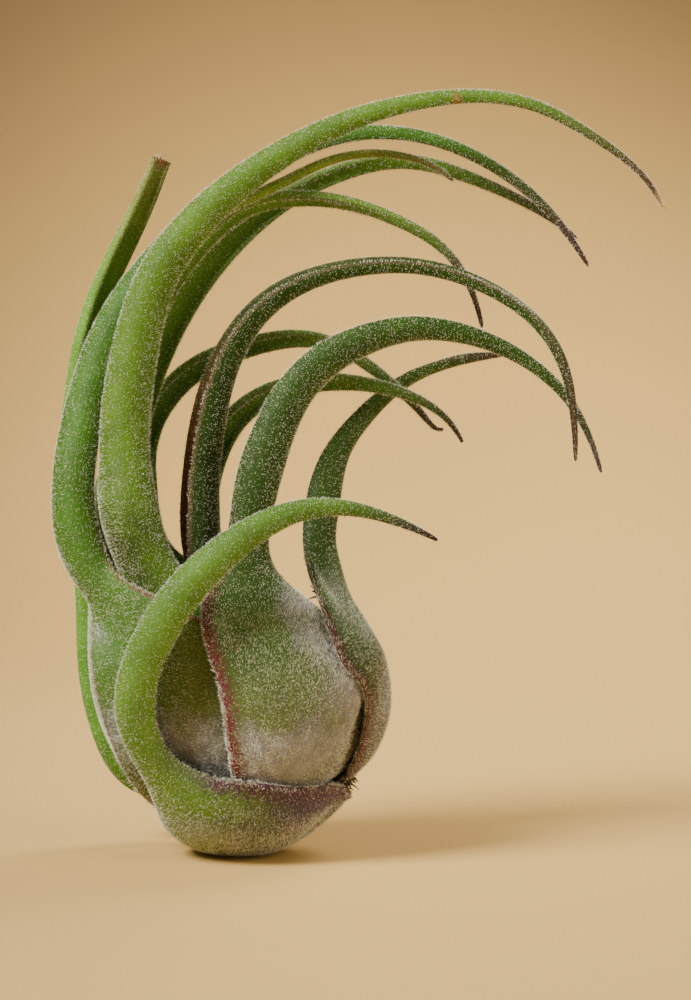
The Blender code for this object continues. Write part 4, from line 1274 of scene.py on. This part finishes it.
def build_stage():
    """A pale floor that curves up into the backdrop.

    Warm paper: matt, with a painted pool of light brightest behind the plant and painted shade falling off
    towards the edges of the picture.
    """
    material, tree, shader = new_material("warm_paper_painted_light", {"Roughness": 0.9})
    spot = add_node(tree, "TexCoord").outputs["Object"]
    # Painted light: the paper is brightest round a spot behind the plant and darker further from it
    drawn_in = add_node(tree, "VectorMath", {0: spot, 1: (1.0, 0.2, 1.0)}, operation="MULTIPLY")
    gap = add_node(tree, "VectorMath", {0: drawn_in, 1: (0.05, 0.14, 0.05)}, operation="DISTANCE")
    painted_light_falloff = add_node(tree, "MapRange", {"Value": gap.outputs["Value"], "From Min": 0.05, "From Max": 0.34},
                     interpolation_type="SMOOTHSTEP")
    colours = {6: linear("#FFD47C"), 7: linear("#8E7250")}
    colour = add_node(tree, "Mix", {"Factor": painted_light_falloff, **colours}, **LAID_OVER).outputs[2]
    tree.links.new(colour, shader.inputs["Base Color"])
    work = bmesh.new()
    front = [work.verts.new((x, STAGE_FRONT, 0.0)) for x in (-STAGE_HALF, STAGE_HALF)]
    made = bmesh.ops.extrude_edge_only(work, edges=[work.edges.new(front)])["geom"]
    moved = [v for v in made if isinstance(v, bmesh.types.BMVert)]
    bmesh.ops.translate(work, verts=moved, vec=(0.0, STAGE_BEND - STAGE_FRONT, 0.0))
    back = [e for e in made if isinstance(e, bmesh.types.BMEdge)]
    turned = bmesh.ops.spin(work, geom=back + moved, cent=(0.0, STAGE_BEND, STAGE_RADIUS),
                            axis=(1.0, 0.0, 0.0), angle=math.radians(90.0), steps=24)["geom_last"]
    last = [e for e in turned if isinstance(e, bmesh.types.BMEdge)]
    made = bmesh.ops.extrude_edge_only(work, edges=last)["geom"]
    moved = [v for v in made if isinstance(v, bmesh.types.BMVert)]
    bmesh.ops.translate(work, verts=moved, vec=(0.0, 0.0, STAGE_WALL))
    bmesh.ops.recalc_face_normals(work, faces=work.faces)
    mesh = bpy.data.meshes.new("backdrop")
    work.to_mesh(mesh)
    work.free()
    mesh.materials.append(material)
    mesh.shade_smooth()
    backdrop = bpy.data.objects.new("backdrop", mesh)
    bpy.context.scene.collection.objects.link(backdrop)


# Soft square lights that face the middle of the plant: name, place and width in metres, watts, colour
LIGHTS = (
    ("key_window", (-0.6, -0.45, 0.75), 0.4, 17.0, "#FFFAF0"),
    ("fill_card", (0.8, -0.5, 0.35), 0.8, 4.5, "#FFF0DC"),
    ("rim_window", (0.4, 0.5, 0.6), 0.4, 5.0, "#FFF4E0"),
)
LIT_PLACE = (0.015, 0.0, 0.06)
ROOM_LIGHT = ("#E4D3B8", 0.26)


def build_lights():
    """A window to the left, a card that fills the shadows, a window behind, and the light of the room."""
    for name, place, size, power, hexed in LIGHTS:
        lamp = bpy.data.lights.new(name, "AREA")
        lamp.shape = "SQUARE"
        lamp.size = size
        lamp.energy = power
        lamp.color = linear(hexed)[:3]
        light = bpy.data.objects.new(name, lamp)
        light.location = place
        light.rotation_euler = (Vector(LIT_PLACE) - Vector(place)).to_track_quat("-Z", "Y").to_euler()
        bpy.context.scene.collection.objects.link(light)
    world = bpy.data.worlds.new("studio_room")
    world.use_nodes = True
    background = world.node_tree.nodes["Background"]
    background.inputs["Color"].default_value = linear(ROOM_LIGHT[0])
    background.inputs["Strength"].default_value = ROOM_LIGHT[1]
    bpy.context.scene.world = world


def build_camera():
    """The camera of the photograph, worked out from its scale and its distance."""
    above = math.radians(CAMERA_ABOVE)
    aim = Vector(CAMERA_AIM)
    place = aim + CAMERA_DISTANCE * Vector((0.0, -math.cos(above), math.sin(above)))
    lens = bpy.data.cameras.new("camera")
    lens.sensor_fit = "VERTICAL"
    lens.angle = 2.0 * math.atan(0.5 * PHOTO_SIZE[1] * MM_PER_PIXEL / CAMERA_DISTANCE)
    lens.clip_start = 0.01
    camera = bpy.data.objects.new("camera", lens)
    camera.location = place * MM
    camera.rotation_euler = (aim - place).to_track_quat("-Z", "Y").to_euler()
    bpy.context.scene.collection.objects.link(camera)
    bpy.context.scene.camera = camera


build_camera()
build_stage()
build_lights()
stem = build_stem()
leaves = build_leaves()
build_shreds({"stem": stem, **leaves})
build_hairs(leaves)
